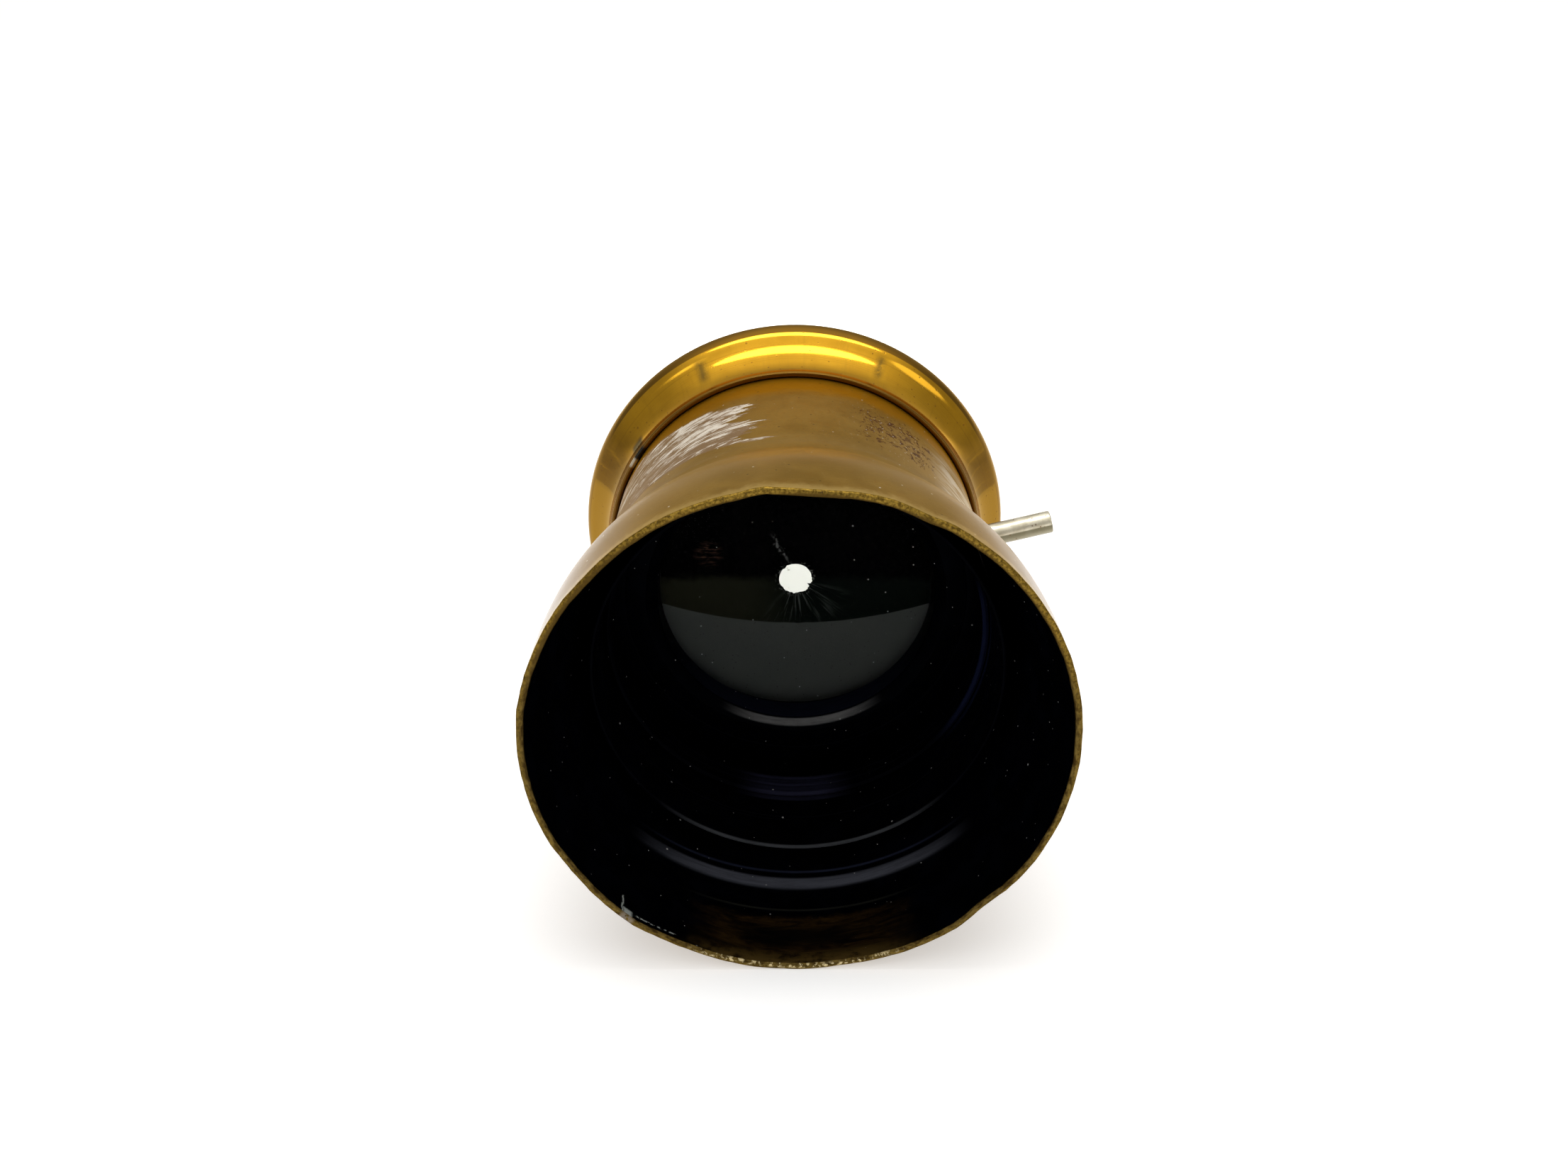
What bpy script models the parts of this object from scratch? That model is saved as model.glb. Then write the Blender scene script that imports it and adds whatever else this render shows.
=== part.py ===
"""Brass kaleidoscope with a hooded eye end, lying on its bell mouth and its flange.

Metres, +Z up. The optical axis runs along +Y, from the bell mouth to the object cell.
A station is a distance along that axis, counted from the plane of the bell mouth.
"""
import math

import bmesh
import bpy
from mathutils import Matrix, Vector

MM = 0.001

# Driving dimensions, in millimetres.
MOUTH_R = 40.0           # outer radius of the bell mouth
TUBE_R = 33.4            # outer radius of the body tube
WALL = 0.8               # thickness of the drawn brass
BELL_LENGTH = 37.0       # station where the bell has become the tube
BELL_SWEEP = 1.53        # above 1, the bell stays wide near its mouth
TUBE_END = 84.0
GAP = 0.3                # clearance between neighbouring pieces

FLANGE_R = 40.0
FLANGE_FRONT = 68.0
FLANGE_FACE = 77.6       # station of the flange's flat front face
FLANGE_BACK = 80.0
HUB_BACK = 83.6
HUB_R = 36.4

LINER_FRONT = 20.3
CELL_FRONT = 47.0
CELL_BACK = 62.0
SLEEVE_BACK = 66.0
GLASS_FRONT = 53.6
GLASS_THICK = 2.0
EYEHOLE_R = 2.92

PIN_STATION = 56.0
PIN_ANGLE = 14.1         # degrees above horizontal, on the right-hand side
PIN_R = 1.95
PIN_TIP = 46.0           # distance of the pin's end from the axis
PIN_TRAVEL = 60.0        # degrees that the pin can be pushed down its slot

PRISM_FRONT = 61.0
PRISM_BACK = 106.8
PRISM_INRADIUS = 9.0     # from the axis to each mirror's face
MIRROR_THICK = 1.8
HOUSING_R = 20.1
HOUSING_WALL = 0.6
HOUSING_BACK = 108.0

DRUM_R = 26.2
DRUM_WALL = 0.7
DRUM_FRONT = 71.0
DRUM_END = 121.0
CHAMBER_FRONT = 111.4
CHAMBER_BACK = 117.4
CHAMBER_R = 23.4
LENGTH = 123.4           # from the mouth plane to the back of the bezel

FINE = 64                # facets round the pieces seen from outside
COARSE = 36              # facets round the pieces inside

PIN_RAD = math.radians(PIN_ANGLE)
PIN_REACH = PIN_TIP * math.cos(PIN_RAD) + PIN_R * math.sin(PIN_RAD)
# The mouth rests on one of its facets, so the axis is that facet's distance up.
AXIS_HEIGHT = MOUTH_R * math.cos(math.pi / FINE)
# The pin widens the object to the right, so the axis lies left of the origin.
AXIS_POINT = Vector(((AXIS_HEIGHT - PIN_REACH) / 2, -LENGTH / 2, AXIS_HEIGHT)) * MM


def clear_scene():
    for obj in list(bpy.data.objects):
        bpy.data.objects.remove(obj, do_unlink=True)


def new_collection(name):
    collection = bpy.data.collections.new(name)
    bpy.context.scene.collection.children.link(collection)
    return collection


def material(name, color, roughness, metallic=0.0, transmission=0.0):
    mat = bpy.data.materials.new(name)
    mat.use_nodes = True
    shader = mat.node_tree.nodes["Principled BSDF"]
    shader.inputs["Base Color"].default_value = (*color, 1.0)
    shader.inputs["Roughness"].default_value = roughness
    shader.inputs["Metallic"].default_value = metallic
    shader.inputs["Transmission Weight"].default_value = transmission
    return mat


def axis_empty(name):
    """An empty on the optical axis, at the mouth plane, that a body's pieces hang from."""
    empty = bpy.data.objects.new(name, None)
    empty.location = AXIS_POINT
    PARTS.objects.link(empty)
    return empty


def add(mesh, name, mat, parent, collection=None):
    obj = bpy.data.objects.new(name, mesh)
    (collection or PARTS).objects.link(obj)
    obj.parent = parent
    if mat:
        mesh.materials.append(mat)
    return obj


def turned(name, outline, mat, parent, facets=COARSE, closed=True):
    """A lathe-turned piece. The outline's points are (radius, station), down its outer side.

    It is turned by half a facet, so that a flat and not a corner faces straight down.
    """
    count = len(outline)
    mesh = bpy.data.meshes.new(name)
    points = [(radius * MM, 0.0, station * MM) for radius, station in outline]
    edges = [(i, i + 1) for i in range(count - 1)]
    if closed:
        edges.append((count - 1, 0))
    mesh.from_pydata(points, edges, [])
    obj = add(mesh, name, mat, parent)
    obj.rotation_euler = (-math.pi / 2, math.pi / facets, 0.0)
    screw = obj.modifiers.new("turning", "SCREW")
    screw.axis = "Z"
    screw.steps = facets
    screw.render_steps = facets
    screw.use_merge_vertices = True
    screw.merge_threshold = 0.00001
    screw.use_smooth_shade = False
    return obj


def ring(name, front, back, inner, outer, mat, parent, facets=COARSE):
    outline = [(outer, back), (outer, front), (inner, front), (inner, back)]
    return turned(name, outline, mat, parent, facets)


def disc(name, front, back, radius, mat, parent, facets=COARSE):
    outline = [(0.0, back), (radius, back), (radius, front), (0.0, front)]
    return turned(name, outline, mat, parent, facets, closed=False)


def on_circle(radius, degrees):
    """A point in the plane across the axis: x to the right, z up."""
    angle = math.radians(degrees)
    return Vector((radius * math.cos(angle), 0.0, radius * math.sin(angle)))


def radial_cylinder(name, inner, outer, radius, degrees, station, mat, parent, facets=24, where=None):
    """A cylinder that points straight out from the axis, between two distances from it."""
    mesh = bpy.data.meshes.new(name)
    shape = bmesh.new()
    bmesh.ops.create_cone(
        shape, cap_ends=True, segments=facets, radius1=radius * MM, radius2=radius * MM,
        depth=(outer - inner) * MM)
    shape.to_mesh(mesh)
    shape.free()
    obj = add(mesh, name, mat, parent, where)
    middle = on_circle((inner + outer) / 2, degrees) + Vector((0.0, station, 0.0))
    obj.location = middle * MM
    obj.rotation_euler.y = math.radians(90.0 - degrees)
    return obj


def block(name, size, centre, degrees, mat, parent, bevel=0.2):
    """A box whose long side lies along the axis, turned about the axis."""
    mesh = bpy.data.meshes.new(name)
    shape = bmesh.new()
    bmesh.ops.create_cube(shape, size=1.0, matrix=Matrix.Diagonal((*(Vector(size) * MM), 1.0)))
    shape.to_mesh(mesh)
    shape.free()
    obj = add(mesh, name, mat, parent)
    obj.location = Vector(centre) * MM
    obj.rotation_euler.y = math.radians(degrees)
    edge = obj.modifiers.new("edges", "BEVEL")
    edge.width = bevel * MM
    edge.segments = 1
    return obj


def plate(name, outlines, front, back, mat, parent):
    """A flat piece across the axis: the first outline is its edge, the others are holes."""
    curve = bpy.data.curves.new(name, "CURVE")
    curve.dimensions = "2D"
    curve.fill_mode = "BOTH"
    curve.extrude = (back - front) / 2 * MM
    for outline in outlines:
        spline = curve.splines.new("POLY")
        spline.points.add(len(outline) - 1)
        for point, (x, z) in zip(spline.points, outline):
            point.co = (x * MM, z * MM, 0.0, 1.0)
        spline.use_cyclic_u = True
    obj = add(curve, name, mat, parent)
    obj.location.y = (front + back) / 2 * MM
    obj.rotation_euler.x = math.pi / 2
    return obj


def circle_outline(radius, facets=COARSE):
    steps = [2 * math.pi * i / facets for i in range(facets)]
    return [(radius * math.cos(a), radius * math.sin(a)) for a in steps]


def cut(target, cutter):
    cutter.hide_render = True
    cutter.display_type = "WIRE"
    boolean = target.modifiers.new("cut_" + cutter.name, "BOOLEAN")
    boolean.operation = "DIFFERENCE"
    boolean.solver = "EXACT"
    boolean.object = cutter


def bell_radius(station):
    """Outer radius of the bell: an ogee from the mouth down to the tube."""
    turn = math.pi * (station / BELL_LENGTH) ** BELL_SWEEP
    return TUBE_R + (MOUTH_R - TUBE_R) * (1 + math.cos(turn)) / 2


def slot_sector(parent):
    """Cutter for the straight run of the pin's slot: a bar swept round the axis."""
    mesh = bpy.data.meshes.new("slot_sector")
    shape = bmesh.new()
    half = (PIN_R + 1.2 * GAP) * MM
    start = math.radians(PIN_ANGLE)
    corners = []
    for radius, along in ((31.0, -half), (35.0, -half), (35.0, half), (31.0, half)):
        x, z = radius * MM * math.cos(start), radius * MM * math.sin(start)
        corners.append(shape.verts.new((x, PIN_STATION * MM + along, z)))
    face = shape.faces.new(corners)
    bmesh.ops.spin(
        shape, geom=[face, *face.edges, *face.verts], cent=(0, 0, 0), axis=(0, 1, 0),
        angle=math.radians(PIN_TRAVEL), steps=24, use_duplicate=False)
    bmesh.ops.recalc_face_normals(shape, faces=shape.faces)
    shape.to_mesh(mesh)
    shape.free()
    return add(mesh, "slot_sector", None, parent, CUTTERS)


def body_tube(parent):
    steps = 9
    outer = []
    inner = []
    for i in range(steps + 1):
        station = BELL_LENGTH * i / steps
        outer.append((bell_radius(station), station))
        inner.append((bell_radius(station) - WALL, station))
    outer[0] = (MOUTH_R, 0.3)
    lip = [(MOUTH_R - 0.3, 0.0), (MOUTH_R - WALL + 0.1, 0.0)]
    inner[0] = (MOUTH_R - WALL, 0.3)
    outline = [(TUBE_R, TUBE_END), *reversed(outer), *lip, *inner, (TUBE_R - WALL, TUBE_END)]
    tube = turned("body_tube", outline, MATS["brown_brass"], parent, FINE)
    cut(tube, slot_sector(parent))
    for end, degrees in (("upper", PIN_ANGLE), ("lower", PIN_ANGLE - PIN_TRAVEL)):
        cut(tube, radial_cylinder(
            "slot_end_" + end, 30.0, 36.0, PIN_R + 1.2 * GAP, degrees, PIN_STATION,
            None, parent, where=CUTTERS))


def hood_lining(parent):
    bore = TUBE_R - WALL
    black = MATS["black"]
    ring("hood_liner", LINER_FRONT, CELL_FRONT - GAP, bore - GAP - 0.6, bore - GAP, black, parent)
    back = [(31.4, 39.6), (31.4, 34.0), (30.9, 33.6), (30.4, 34.0), (30.4, 39.2), (30.8, 39.6)]
    turned("baffle_ring", back, black, parent)
    ring("cell_thrust_ring", CELL_BACK + GAP, CELL_BACK + GAP + 2.0, 28.4, bore - GAP, black, parent)


def flange(parent):
    """The polished collar: a cove sweeps up from its hub to a beaded, rounded rim."""
    bore = TUBE_R + GAP
    collar = 34.7
    cove_r = 38.0
    cove_start = 71.0
    rows = 5
    cove = []
    for i in range(rows + 1):
        angle = math.pi / 2 * i / rows
        cove.append((cove_r - (cove_r - collar) * math.cos(angle),
                     cove_start + (FLANGE_FACE - cove_start) * math.sin(angle)))
    bead = [(cove_r + 0.2, FLANGE_FACE - 0.3), (cove_r + 0.6, FLANGE_FACE)]
    rim = [(FLANGE_R, FLANGE_BACK - 0.6), (FLANGE_R, FLANGE_FACE + 0.4), (FLANGE_R - 0.4, FLANGE_FACE)]
    outline = [
        (bore, HUB_BACK), (HUB_R, HUB_BACK), (HUB_R, FLANGE_BACK), (FLANGE_R - 0.6, FLANGE_BACK),
        *rim, *reversed(bead), *reversed(cove),
        (collar, FLANGE_FRONT + 0.3), (collar - 0.3, FLANGE_FRONT), (bore + 0.2, FLANGE_FRONT),
        (bore, FLANGE_FRONT + 0.4),
    ]
    body = turned("flange", outline, MATS["polished_brass"], parent, FINE)
    station = (FLANGE_BACK + HUB_BACK) / 2
    for i in range(3):
        degrees = 90.0 + 120.0 * i
        hole = radial_cylinder(
            f"flange_hole_{i + 1}", bore - 2.0, HUB_R + 2.0, 1.0 + GAP, degrees, station,
            None, parent, where=CUTTERS)
        cut(body, hole)
        radial_cylinder(
            f"flange_screw_{i + 1}", TUBE_R + GAP, HUB_R - 0.1, 1.0, degrees, station,
            MATS["steel"], parent, facets=12)


def rear_bearing(parent):
    """The ring screwed into the tube's end, in which the object drum turns."""
    bore = TUBE_R - WALL
    outline = [
        (TUBE_R, TUBE_END + GAP + 2.0), (TUBE_R, TUBE_END + GAP), (bore - GAP, TUBE_END + GAP),
        (bore - GAP, 75.0), (bore - GAP - 1.0, 75.0), (bore - GAP - 1.0, 82.5),
        (DRUM_R + GAP + 1.0, 82.5), (DRUM_R + GAP + 1.0, 75.0), (DRUM_R + GAP, 75.0),
        (DRUM_R + GAP, TUBE_END + GAP + 2.0),
    ]
    turned("rear_bearing", outline, MATS["plain_brass"], parent)


def eyepiece(parent):
    """The turning cell with its glass, the pierced disc and the rings that clamp them."""
    wall = TUBE_R - WALL - GAP
    seat = 25.8
    black = MATS["black"]
    outline = [
        (wall, CELL_BACK), (wall, CELL_FRONT), (26.0, CELL_FRONT), (24.2, CELL_FRONT + 1.2),
        (24.0, GLASS_FRONT - GAP), (seat, GLASS_FRONT - GAP), (seat, SLEEVE_BACK),
        (27.0, SLEEVE_BACK), (27.0, CELL_FRONT + 2.0), (wall - 0.8, CELL_FRONT + 2.0),
        (wall - 0.8, CELL_BACK),
    ]
    cell = turned("eyepiece_cell", outline, black, parent, FINE)
    cut(cell, radial_cylinder(
        "pin_hole", 29.0, 34.0, PIN_R + GAP, PIN_ANGLE, PIN_STATION, None, parent, where=CUTTERS))
    cut(cell, radial_cylinder(
        "pin_thread", 24.0, 29.0, 1.3 + GAP, PIN_ANGLE, PIN_STATION, None, parent, where=CUTTERS))
    glass_back = GLASS_FRONT + GLASS_THICK
    disc("eyepiece_glass", GLASS_FRONT, glass_back, seat - GAP, MATS["clear_glass"], parent)
    ring("peephole_disc", glass_back + GAP, glass_back + 0.9, EYEHOLE_R, seat - GAP, black, parent)
    ring("disc_clamp_ring", 56.8, 58.8, 18.5, seat - GAP, black, parent)
    ring("mirror_collar", 59.1, 65.4, HOUSING_R + GAP, seat - GAP, black, parent)


def turning_pin(parent):
    """A plain steel pin with a slim threaded end, turned about its own axis."""
    mesh = bpy.data.meshes.new("turning_pin")
    shank = 1.3
    end = 0.25
    outline = [
        (0.0, PIN_TIP), (PIN_R - end, PIN_TIP), (PIN_R, PIN_TIP - end), (PIN_R, 28.8),
        (shank, 28.5), (shank, 26.1), (0.0, 26.1),
    ]
    mesh.from_pydata(
        [(radius * MM, 0.0, along * MM) for radius, along in outline],
        [(i, i + 1) for i in range(len(outline) - 1)], [])
    pin = add(mesh, "turning_pin", MATS["steel"], parent)
    pin.location.y = PIN_STATION * MM
    pin.rotation_euler.y = math.radians(90.0 - PIN_ANGLE)
    screw = pin.modifiers.new("turning", "SCREW")
    screw.axis = "Z"
    screw.steps = 24
    screw.render_steps = 24
    screw.use_merge_vertices = True
    screw.merge_threshold = 0.00001


def mirror_prism(parent):
    """Three mirrors in a triangle, packed into a card tube between two masks."""
    middle = (PRISM_FRONT + PRISM_BACK) / 2
    length = PRISM_BACK - PRISM_FRONT
    bore = HOUSING_R - HOUSING_WALL
    side = 2 * math.sqrt(3) * PRISM_INRADIUS - 0.7
    pad_thick = 6.0
    for name, degrees in (("lower", -90.0), ("right", 30.0), ("left", 150.0)):
        spot = on_circle(PRISM_INRADIUS + MIRROR_THICK / 2, degrees)
        block(
            "mirror_" + name, (side, length, MIRROR_THICK), (spot.x, middle, spot.z),
            90.0 - degrees, MATS["mirror"], parent)
        spot = on_circle(PRISM_INRADIUS + MIRROR_THICK + GAP + pad_thick / 2, degrees)
        block(
            "packing_" + name, (15.0, length - 4.0, pad_thick), (spot.x, middle, spot.z),
            90.0 - degrees, MATS["cork"], parent, bevel=0.8)
    ring("mirror_housing", 59.4, HOUSING_BACK, bore, HOUSING_R, MATS["card"], parent)
    window = [
        (point.x, point.z)
        for point in (on_circle(2 * PRISM_INRADIUS - 2.0, degrees) for degrees in (90.0, 210.0, 330.0))
    ]
    edge = circle_outline(bore - GAP)
    plate("front_mask", [edge, window], 59.9, 60.7, MATS["card"], parent)
    plate("rear_mask", [edge, window], 107.1, 107.9, MATS["card"], parent)
    ring("guide_ring", 99.0, 103.0, HOUSING_R + GAP, DRUM_R - DRUM_WALL - GAP, MATS["cork"], parent)


def object_drum(parent):
    """The turning end: drum, knurled grip, the two glasses of the cell and the bezel."""
    bore = DRUM_R - DRUM_WALL
    brass = MATS["plain_brass"]
    ring("object_drum", DRUM_FRONT, DRUM_END, bore, DRUM_R, brass, parent, FINE)
    ring("drum_keeper_ring", 72.6, 74.6, DRUM_R + GAP, 29.0, brass, parent)
    ring("cell_seat_ring", 108.2, 109.4, 22.6, bore - GAP, brass, parent)
    disc("inner_glass", 109.7, 111.1, bore - GAP, MATS["clear_glass"], parent)
    ring("cell_spacer", CHAMBER_FRONT, CHAMBER_BACK, CHAMBER_R, bore - GAP, brass, parent)
    disc("frosted_glass", 117.7, 119.1, bore - GAP, MATS["frosted_glass"], parent)
    outline = [
        (26.4, LENGTH), (27.0, LENGTH - 0.6), (27.0, DRUM_END + GAP), (bore - GAP, DRUM_END + GAP),
        (bore - GAP, 119.4), (22.6, 119.4), (22.6, LENGTH - 0.8), (23.4, LENGTH),
    ]
    turned("end_bezel", outline, brass, parent)


def grip_ring(parent):
    """A ring with straight ribs that fingers turn the drum by."""
    ribs = 48
    outline = []
    for i in range(2 * ribs):
        angle = math.pi * i / ribs
        radius = 28.2 if i % 2 else 27.7
        outline.append((radius * math.cos(angle), radius * math.sin(angle)))
    plate(
        "grip_ring", [outline, circle_outline(DRUM_R + GAP)], 98.0, 108.0,
        MATS["plain_brass"], parent)


def loose_glass(parent):
    """Coloured pieces that have dropped to the bottom of the object cell."""
    middle = (CHAMBER_FRONT + CHAMBER_BACK) / 2
    # name, colour, sides, radius, thickness, distance from the axis, degrees round it, tilt
    pieces = (
        ("chip_ruby", "ruby", 5, 2.6, 2.4, 20.3, -90.0, 10.0),
        ("chip_amber", "amber", 6, 2.5, 2.2, 20.3, -74.0, 40.0),
        ("chip_green", "green", 4, 2.8, 2.0, 20.2, -106.5, 20.0),
        ("chip_blue", "blue", 3, 3.0, 2.6, 19.8, -58.0, 5.0),
        ("chip_violet", "violet", 7, 2.3, 2.4, 20.4, -122.5, 0.0),
        ("chip_rose", "rose", 6, 2.0, 2.6, 15.4, -97.5, 15.0),
        ("chip_aqua", "aqua", 5, 2.3, 2.2, 15.3, -80.0, 50.0),
        ("chip_citrine", "citrine", 4, 2.2, 2.4, 15.1, -117.0, 33.0),
        ("chip_indigo", "indigo", 8, 2.0, 2.0, 15.3, -61.5, 0.0),
    )
    for name, colour, sides, radius, thick, away, degrees, tilt in pieces:
        mesh = bpy.data.meshes.new(name)
        shape = bmesh.new()
        bmesh.ops.create_cone(
            shape, cap_ends=True, segments=sides, radius1=radius * MM, radius2=radius * 0.86 * MM,
            depth=thick * MM)
        shape.to_mesh(mesh)
        shape.free()
        chip = add(mesh, name, MATS[colour], parent)
        spot = on_circle(away, degrees)
        chip.location = Vector((spot.x, middle, spot.z)) * MM
        chip.rotation_euler = (math.pi / 2, math.radians(tilt), 0.0)
        edge = chip.modifiers.new("edges", "BEVEL")
        edge.width = 0.25 * MM
        edge.segments = 1


def make_materials():
    return {
        "brown_brass": material("brown_brass", (0.24, 0.14, 0.05), 0.30, 0.9),
        "polished_brass": material("polished_brass", (0.72, 0.42, 0.08), 0.15, 1.0),
        "plain_brass": material("plain_brass", (0.50, 0.32, 0.11), 0.32, 1.0),
        "steel": material("steel", (0.55, 0.52, 0.45), 0.28, 1.0),
        "black": material("black", (0.004, 0.004, 0.006), 0.55),
        "card": material("card", (0.012, 0.011, 0.011), 0.85),
        "cork": material("cork", (0.34, 0.20, 0.10), 0.9),
        "mirror": material("mirror", (0.92, 0.93, 0.94), 0.02, 1.0),
        "clear_glass": material("clear_glass", (0.97, 0.99, 0.98), 0.02, 0.0, 1.0),
        "frosted_glass": material("frosted_glass", (0.95, 0.95, 0.93), 0.6, 0.0, 1.0),
        "ruby": material("ruby", (0.65, 0.02, 0.03), 0.05, 0.0, 1.0),
        "amber": material("amber", (0.85, 0.38, 0.03), 0.05, 0.0, 1.0),
        "green": material("green", (0.03, 0.42, 0.10), 0.05, 0.0, 1.0),
        "blue": material("blue", (0.02, 0.12, 0.60), 0.05, 0.0, 1.0),
        "violet": material("violet", (0.30, 0.04, 0.50), 0.05, 0.0, 1.0),
        "rose": material("rose", (0.80, 0.18, 0.30), 0.05, 0.0, 1.0),
        "aqua": material("aqua", (0.05, 0.55, 0.60), 0.05, 0.0, 1.0),
        "citrine": material("citrine", (0.85, 0.75, 0.08), 0.05, 0.0, 1.0),
        "indigo": material("indigo", (0.05, 0.04, 0.35), 0.05, 0.0, 1.0),
    }


clear_scene()
PARTS = new_collection("kaleidoscope")
CUTTERS = new_collection("kaleidoscope_cutters")
MATS = make_materials()

barrel = axis_empty("barrel_axis")
carriage = axis_empty("carriage_axis")
head = axis_empty("head_axis")

body_tube(barrel)
hood_lining(barrel)
flange(barrel)
rear_bearing(barrel)
eyepiece(carriage)
turning_pin(carriage)
mirror_prism(carriage)
object_drum(head)
grip_ring(head)
loose_glass(head)
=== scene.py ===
"""Looks for the brass kaleidoscope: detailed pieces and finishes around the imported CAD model.

Lengths are in millimetres, and the frame is in metres, +Z up. A station is a distance along the
optical axis (+Y) from the plane of the bell mouth. An angle goes round that axis, from +X towards
+Z, in degrees. Colours are linear RGB.
"""
import math

import bmesh
import bpy
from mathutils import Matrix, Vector, noise


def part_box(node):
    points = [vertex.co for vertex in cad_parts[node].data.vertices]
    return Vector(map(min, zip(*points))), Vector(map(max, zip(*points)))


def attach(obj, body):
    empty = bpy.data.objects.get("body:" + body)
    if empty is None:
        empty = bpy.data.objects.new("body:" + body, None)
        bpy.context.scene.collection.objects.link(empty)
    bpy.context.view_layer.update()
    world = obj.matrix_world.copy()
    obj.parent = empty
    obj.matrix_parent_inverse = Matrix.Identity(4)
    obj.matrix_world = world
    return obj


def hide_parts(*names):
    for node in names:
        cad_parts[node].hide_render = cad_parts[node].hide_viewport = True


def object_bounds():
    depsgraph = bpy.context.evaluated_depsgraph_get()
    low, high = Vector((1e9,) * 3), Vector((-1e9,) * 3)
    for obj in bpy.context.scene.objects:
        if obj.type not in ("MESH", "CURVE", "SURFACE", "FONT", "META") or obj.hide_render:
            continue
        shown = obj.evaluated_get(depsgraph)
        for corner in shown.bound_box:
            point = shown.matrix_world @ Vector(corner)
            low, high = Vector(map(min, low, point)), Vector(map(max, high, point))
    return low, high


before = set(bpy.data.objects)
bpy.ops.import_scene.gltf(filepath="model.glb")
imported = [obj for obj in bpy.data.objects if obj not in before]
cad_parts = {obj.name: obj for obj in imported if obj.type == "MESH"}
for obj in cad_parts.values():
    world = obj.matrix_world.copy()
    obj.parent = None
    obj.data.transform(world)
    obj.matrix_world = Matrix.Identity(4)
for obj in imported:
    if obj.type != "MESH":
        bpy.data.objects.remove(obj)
cad_low, cad_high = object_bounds()

MM = 0.001
ROUND = 224              # facets round the large turned pieces
ROUND_INNER = 128        # facets round the pieces that are mostly hidden

glass_low, glass_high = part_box("eyepiece_glass")
tube_low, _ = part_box("body_tube")
AXIS = Vector(((glass_low.x + glass_high.x) / 2, tube_low.y, (glass_low.z + glass_high.z) / 2))

MOUTH_R = 40             # the bell's mouth, outside
TUBE_R = 33.4            # the tube, outside
WALL = 0.8
BORE = TUBE_R - WALL
BELL_LENGTH = 37
BELL_SWEEP = 1.53        # above 1, the bell's ogee turns in late
TUBE_END = 84
PIN_STATION = 56
PIN_ANGLE = 14.1         # the pin's place at rest, the top end of its slot
PIN_R = 1.95
PIN_TIP = 46
PIN_TRAVEL = 60
EYEHOLE_R = 2.92
SLOT_CLEARANCE = 0.36    # between the pin and the sides of its slot
CUT_FROM, CUT_TO = 30, 36    # radii between which the slot is cut


# ---------------------------------------------------------------- shapes

def at(radius, degrees, station):
    """A point of the frame from its place round and along the optical axis."""
    angle = math.radians(degrees)
    return AXIS + Vector((radius * math.cos(angle), station, radius * math.sin(angle))) * MM


def spoke(degrees, station):
    """The foot on the axis, and the outward and sideways directions, of a radial pin or screw."""
    angle = math.radians(degrees)
    out = Vector((math.cos(angle), 0, math.sin(angle)))
    return AXIS + Vector((0, station, 0)) * MM, out, Vector((-out.z, 0, out.x))


def bump_at(value, centre, width):
    """A smooth hump of height 1 at centre; angles wrap round."""
    away = (value - centre + 180) % 360 - 180
    return math.exp(-((away / width) ** 2))


def distinct(corners):
    """The corners of a face without repeats, which meet where an outline touches the axis."""
    return list(dict.fromkeys(corners))


def band(shape, a, b):
    """A row of faces between two rings of points."""
    for j in range(len(a)):
        k = (j + 1) % len(a)
        shape.faces.new(distinct([a[j], a[k], b[k], b[j]]))


def rounded(points, radius, steps=3, sharp=20):
    """The outline with an arc in place of every corner that turns more than sharp degrees."""
    out = []
    count = len(points)
    for i, point in enumerate(points):
        here = Vector(point)
        before = Vector(points[i - 1]) - here
        after = Vector(points[(i + 1) % count]) - here
        straight = before.length < 1e-6 or after.length < 1e-6 or abs(point[0]) < 1e-6
        if straight or math.degrees(math.pi - before.angle(after)) < sharp:
            out.append(tuple(here))
            continue
        turn = math.pi - before.angle(after)
        reach = min(radius * math.tan(turn / 2), before.length * 0.45, after.length * 0.45)
        start = here + before.normalized() * reach
        end = here + after.normalized() * reach
        for k in range(steps + 1):
            t = k / steps
            out.append(tuple((1 - t) ** 2 * start + 2 * t * (1 - t) * here + t * t * end))
    return out


def linked(name, data):
    """A new object of the scene that holds the data."""
    obj = bpy.data.objects.new(name, data)
    bpy.context.scene.collection.objects.link(obj)
    return obj


def placed(name, shape, mats=()):
    """Puts a bmesh in the scene as an object, with its faces turned outward."""
    bmesh.ops.recalc_face_normals(shape, faces=shape.faces)
    mesh = bpy.data.meshes.new(name)
    shape.to_mesh(mesh)
    shape.free()
    for mat in mats:
        mesh.materials.append(mat)
    return linked(name, mesh)


def carved(solid, cutter):
    """A bmesh of what is left of one object when another is cut out of it. Both are used up."""
    boolean = solid.modifiers.new("cut", "BOOLEAN")
    boolean.operation = "DIFFERENCE"
    boolean.solver = "EXACT"
    boolean.object = cutter
    evaluated = solid.evaluated_get(bpy.context.evaluated_depsgraph_get())
    shape = bmesh.new()
    shape.from_mesh(evaluated.to_mesh())
    evaluated.to_mesh_clear()
    bpy.data.objects.remove(solid)
    bpy.data.objects.remove(cutter)
    return shape


def finished(name, shape, mats, body, stands, sharp=38):
    """Turns a bmesh into a smooth-shaded piece that rides on a CAD body and stands for a node."""
    obj = placed(name, shape, mats)
    obj.data.shade_smooth()
    obj.data.set_sharp_from_angle(angle=math.radians(sharp))
    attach(obj, body)
    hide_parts(*stands)
    return obj


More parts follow.
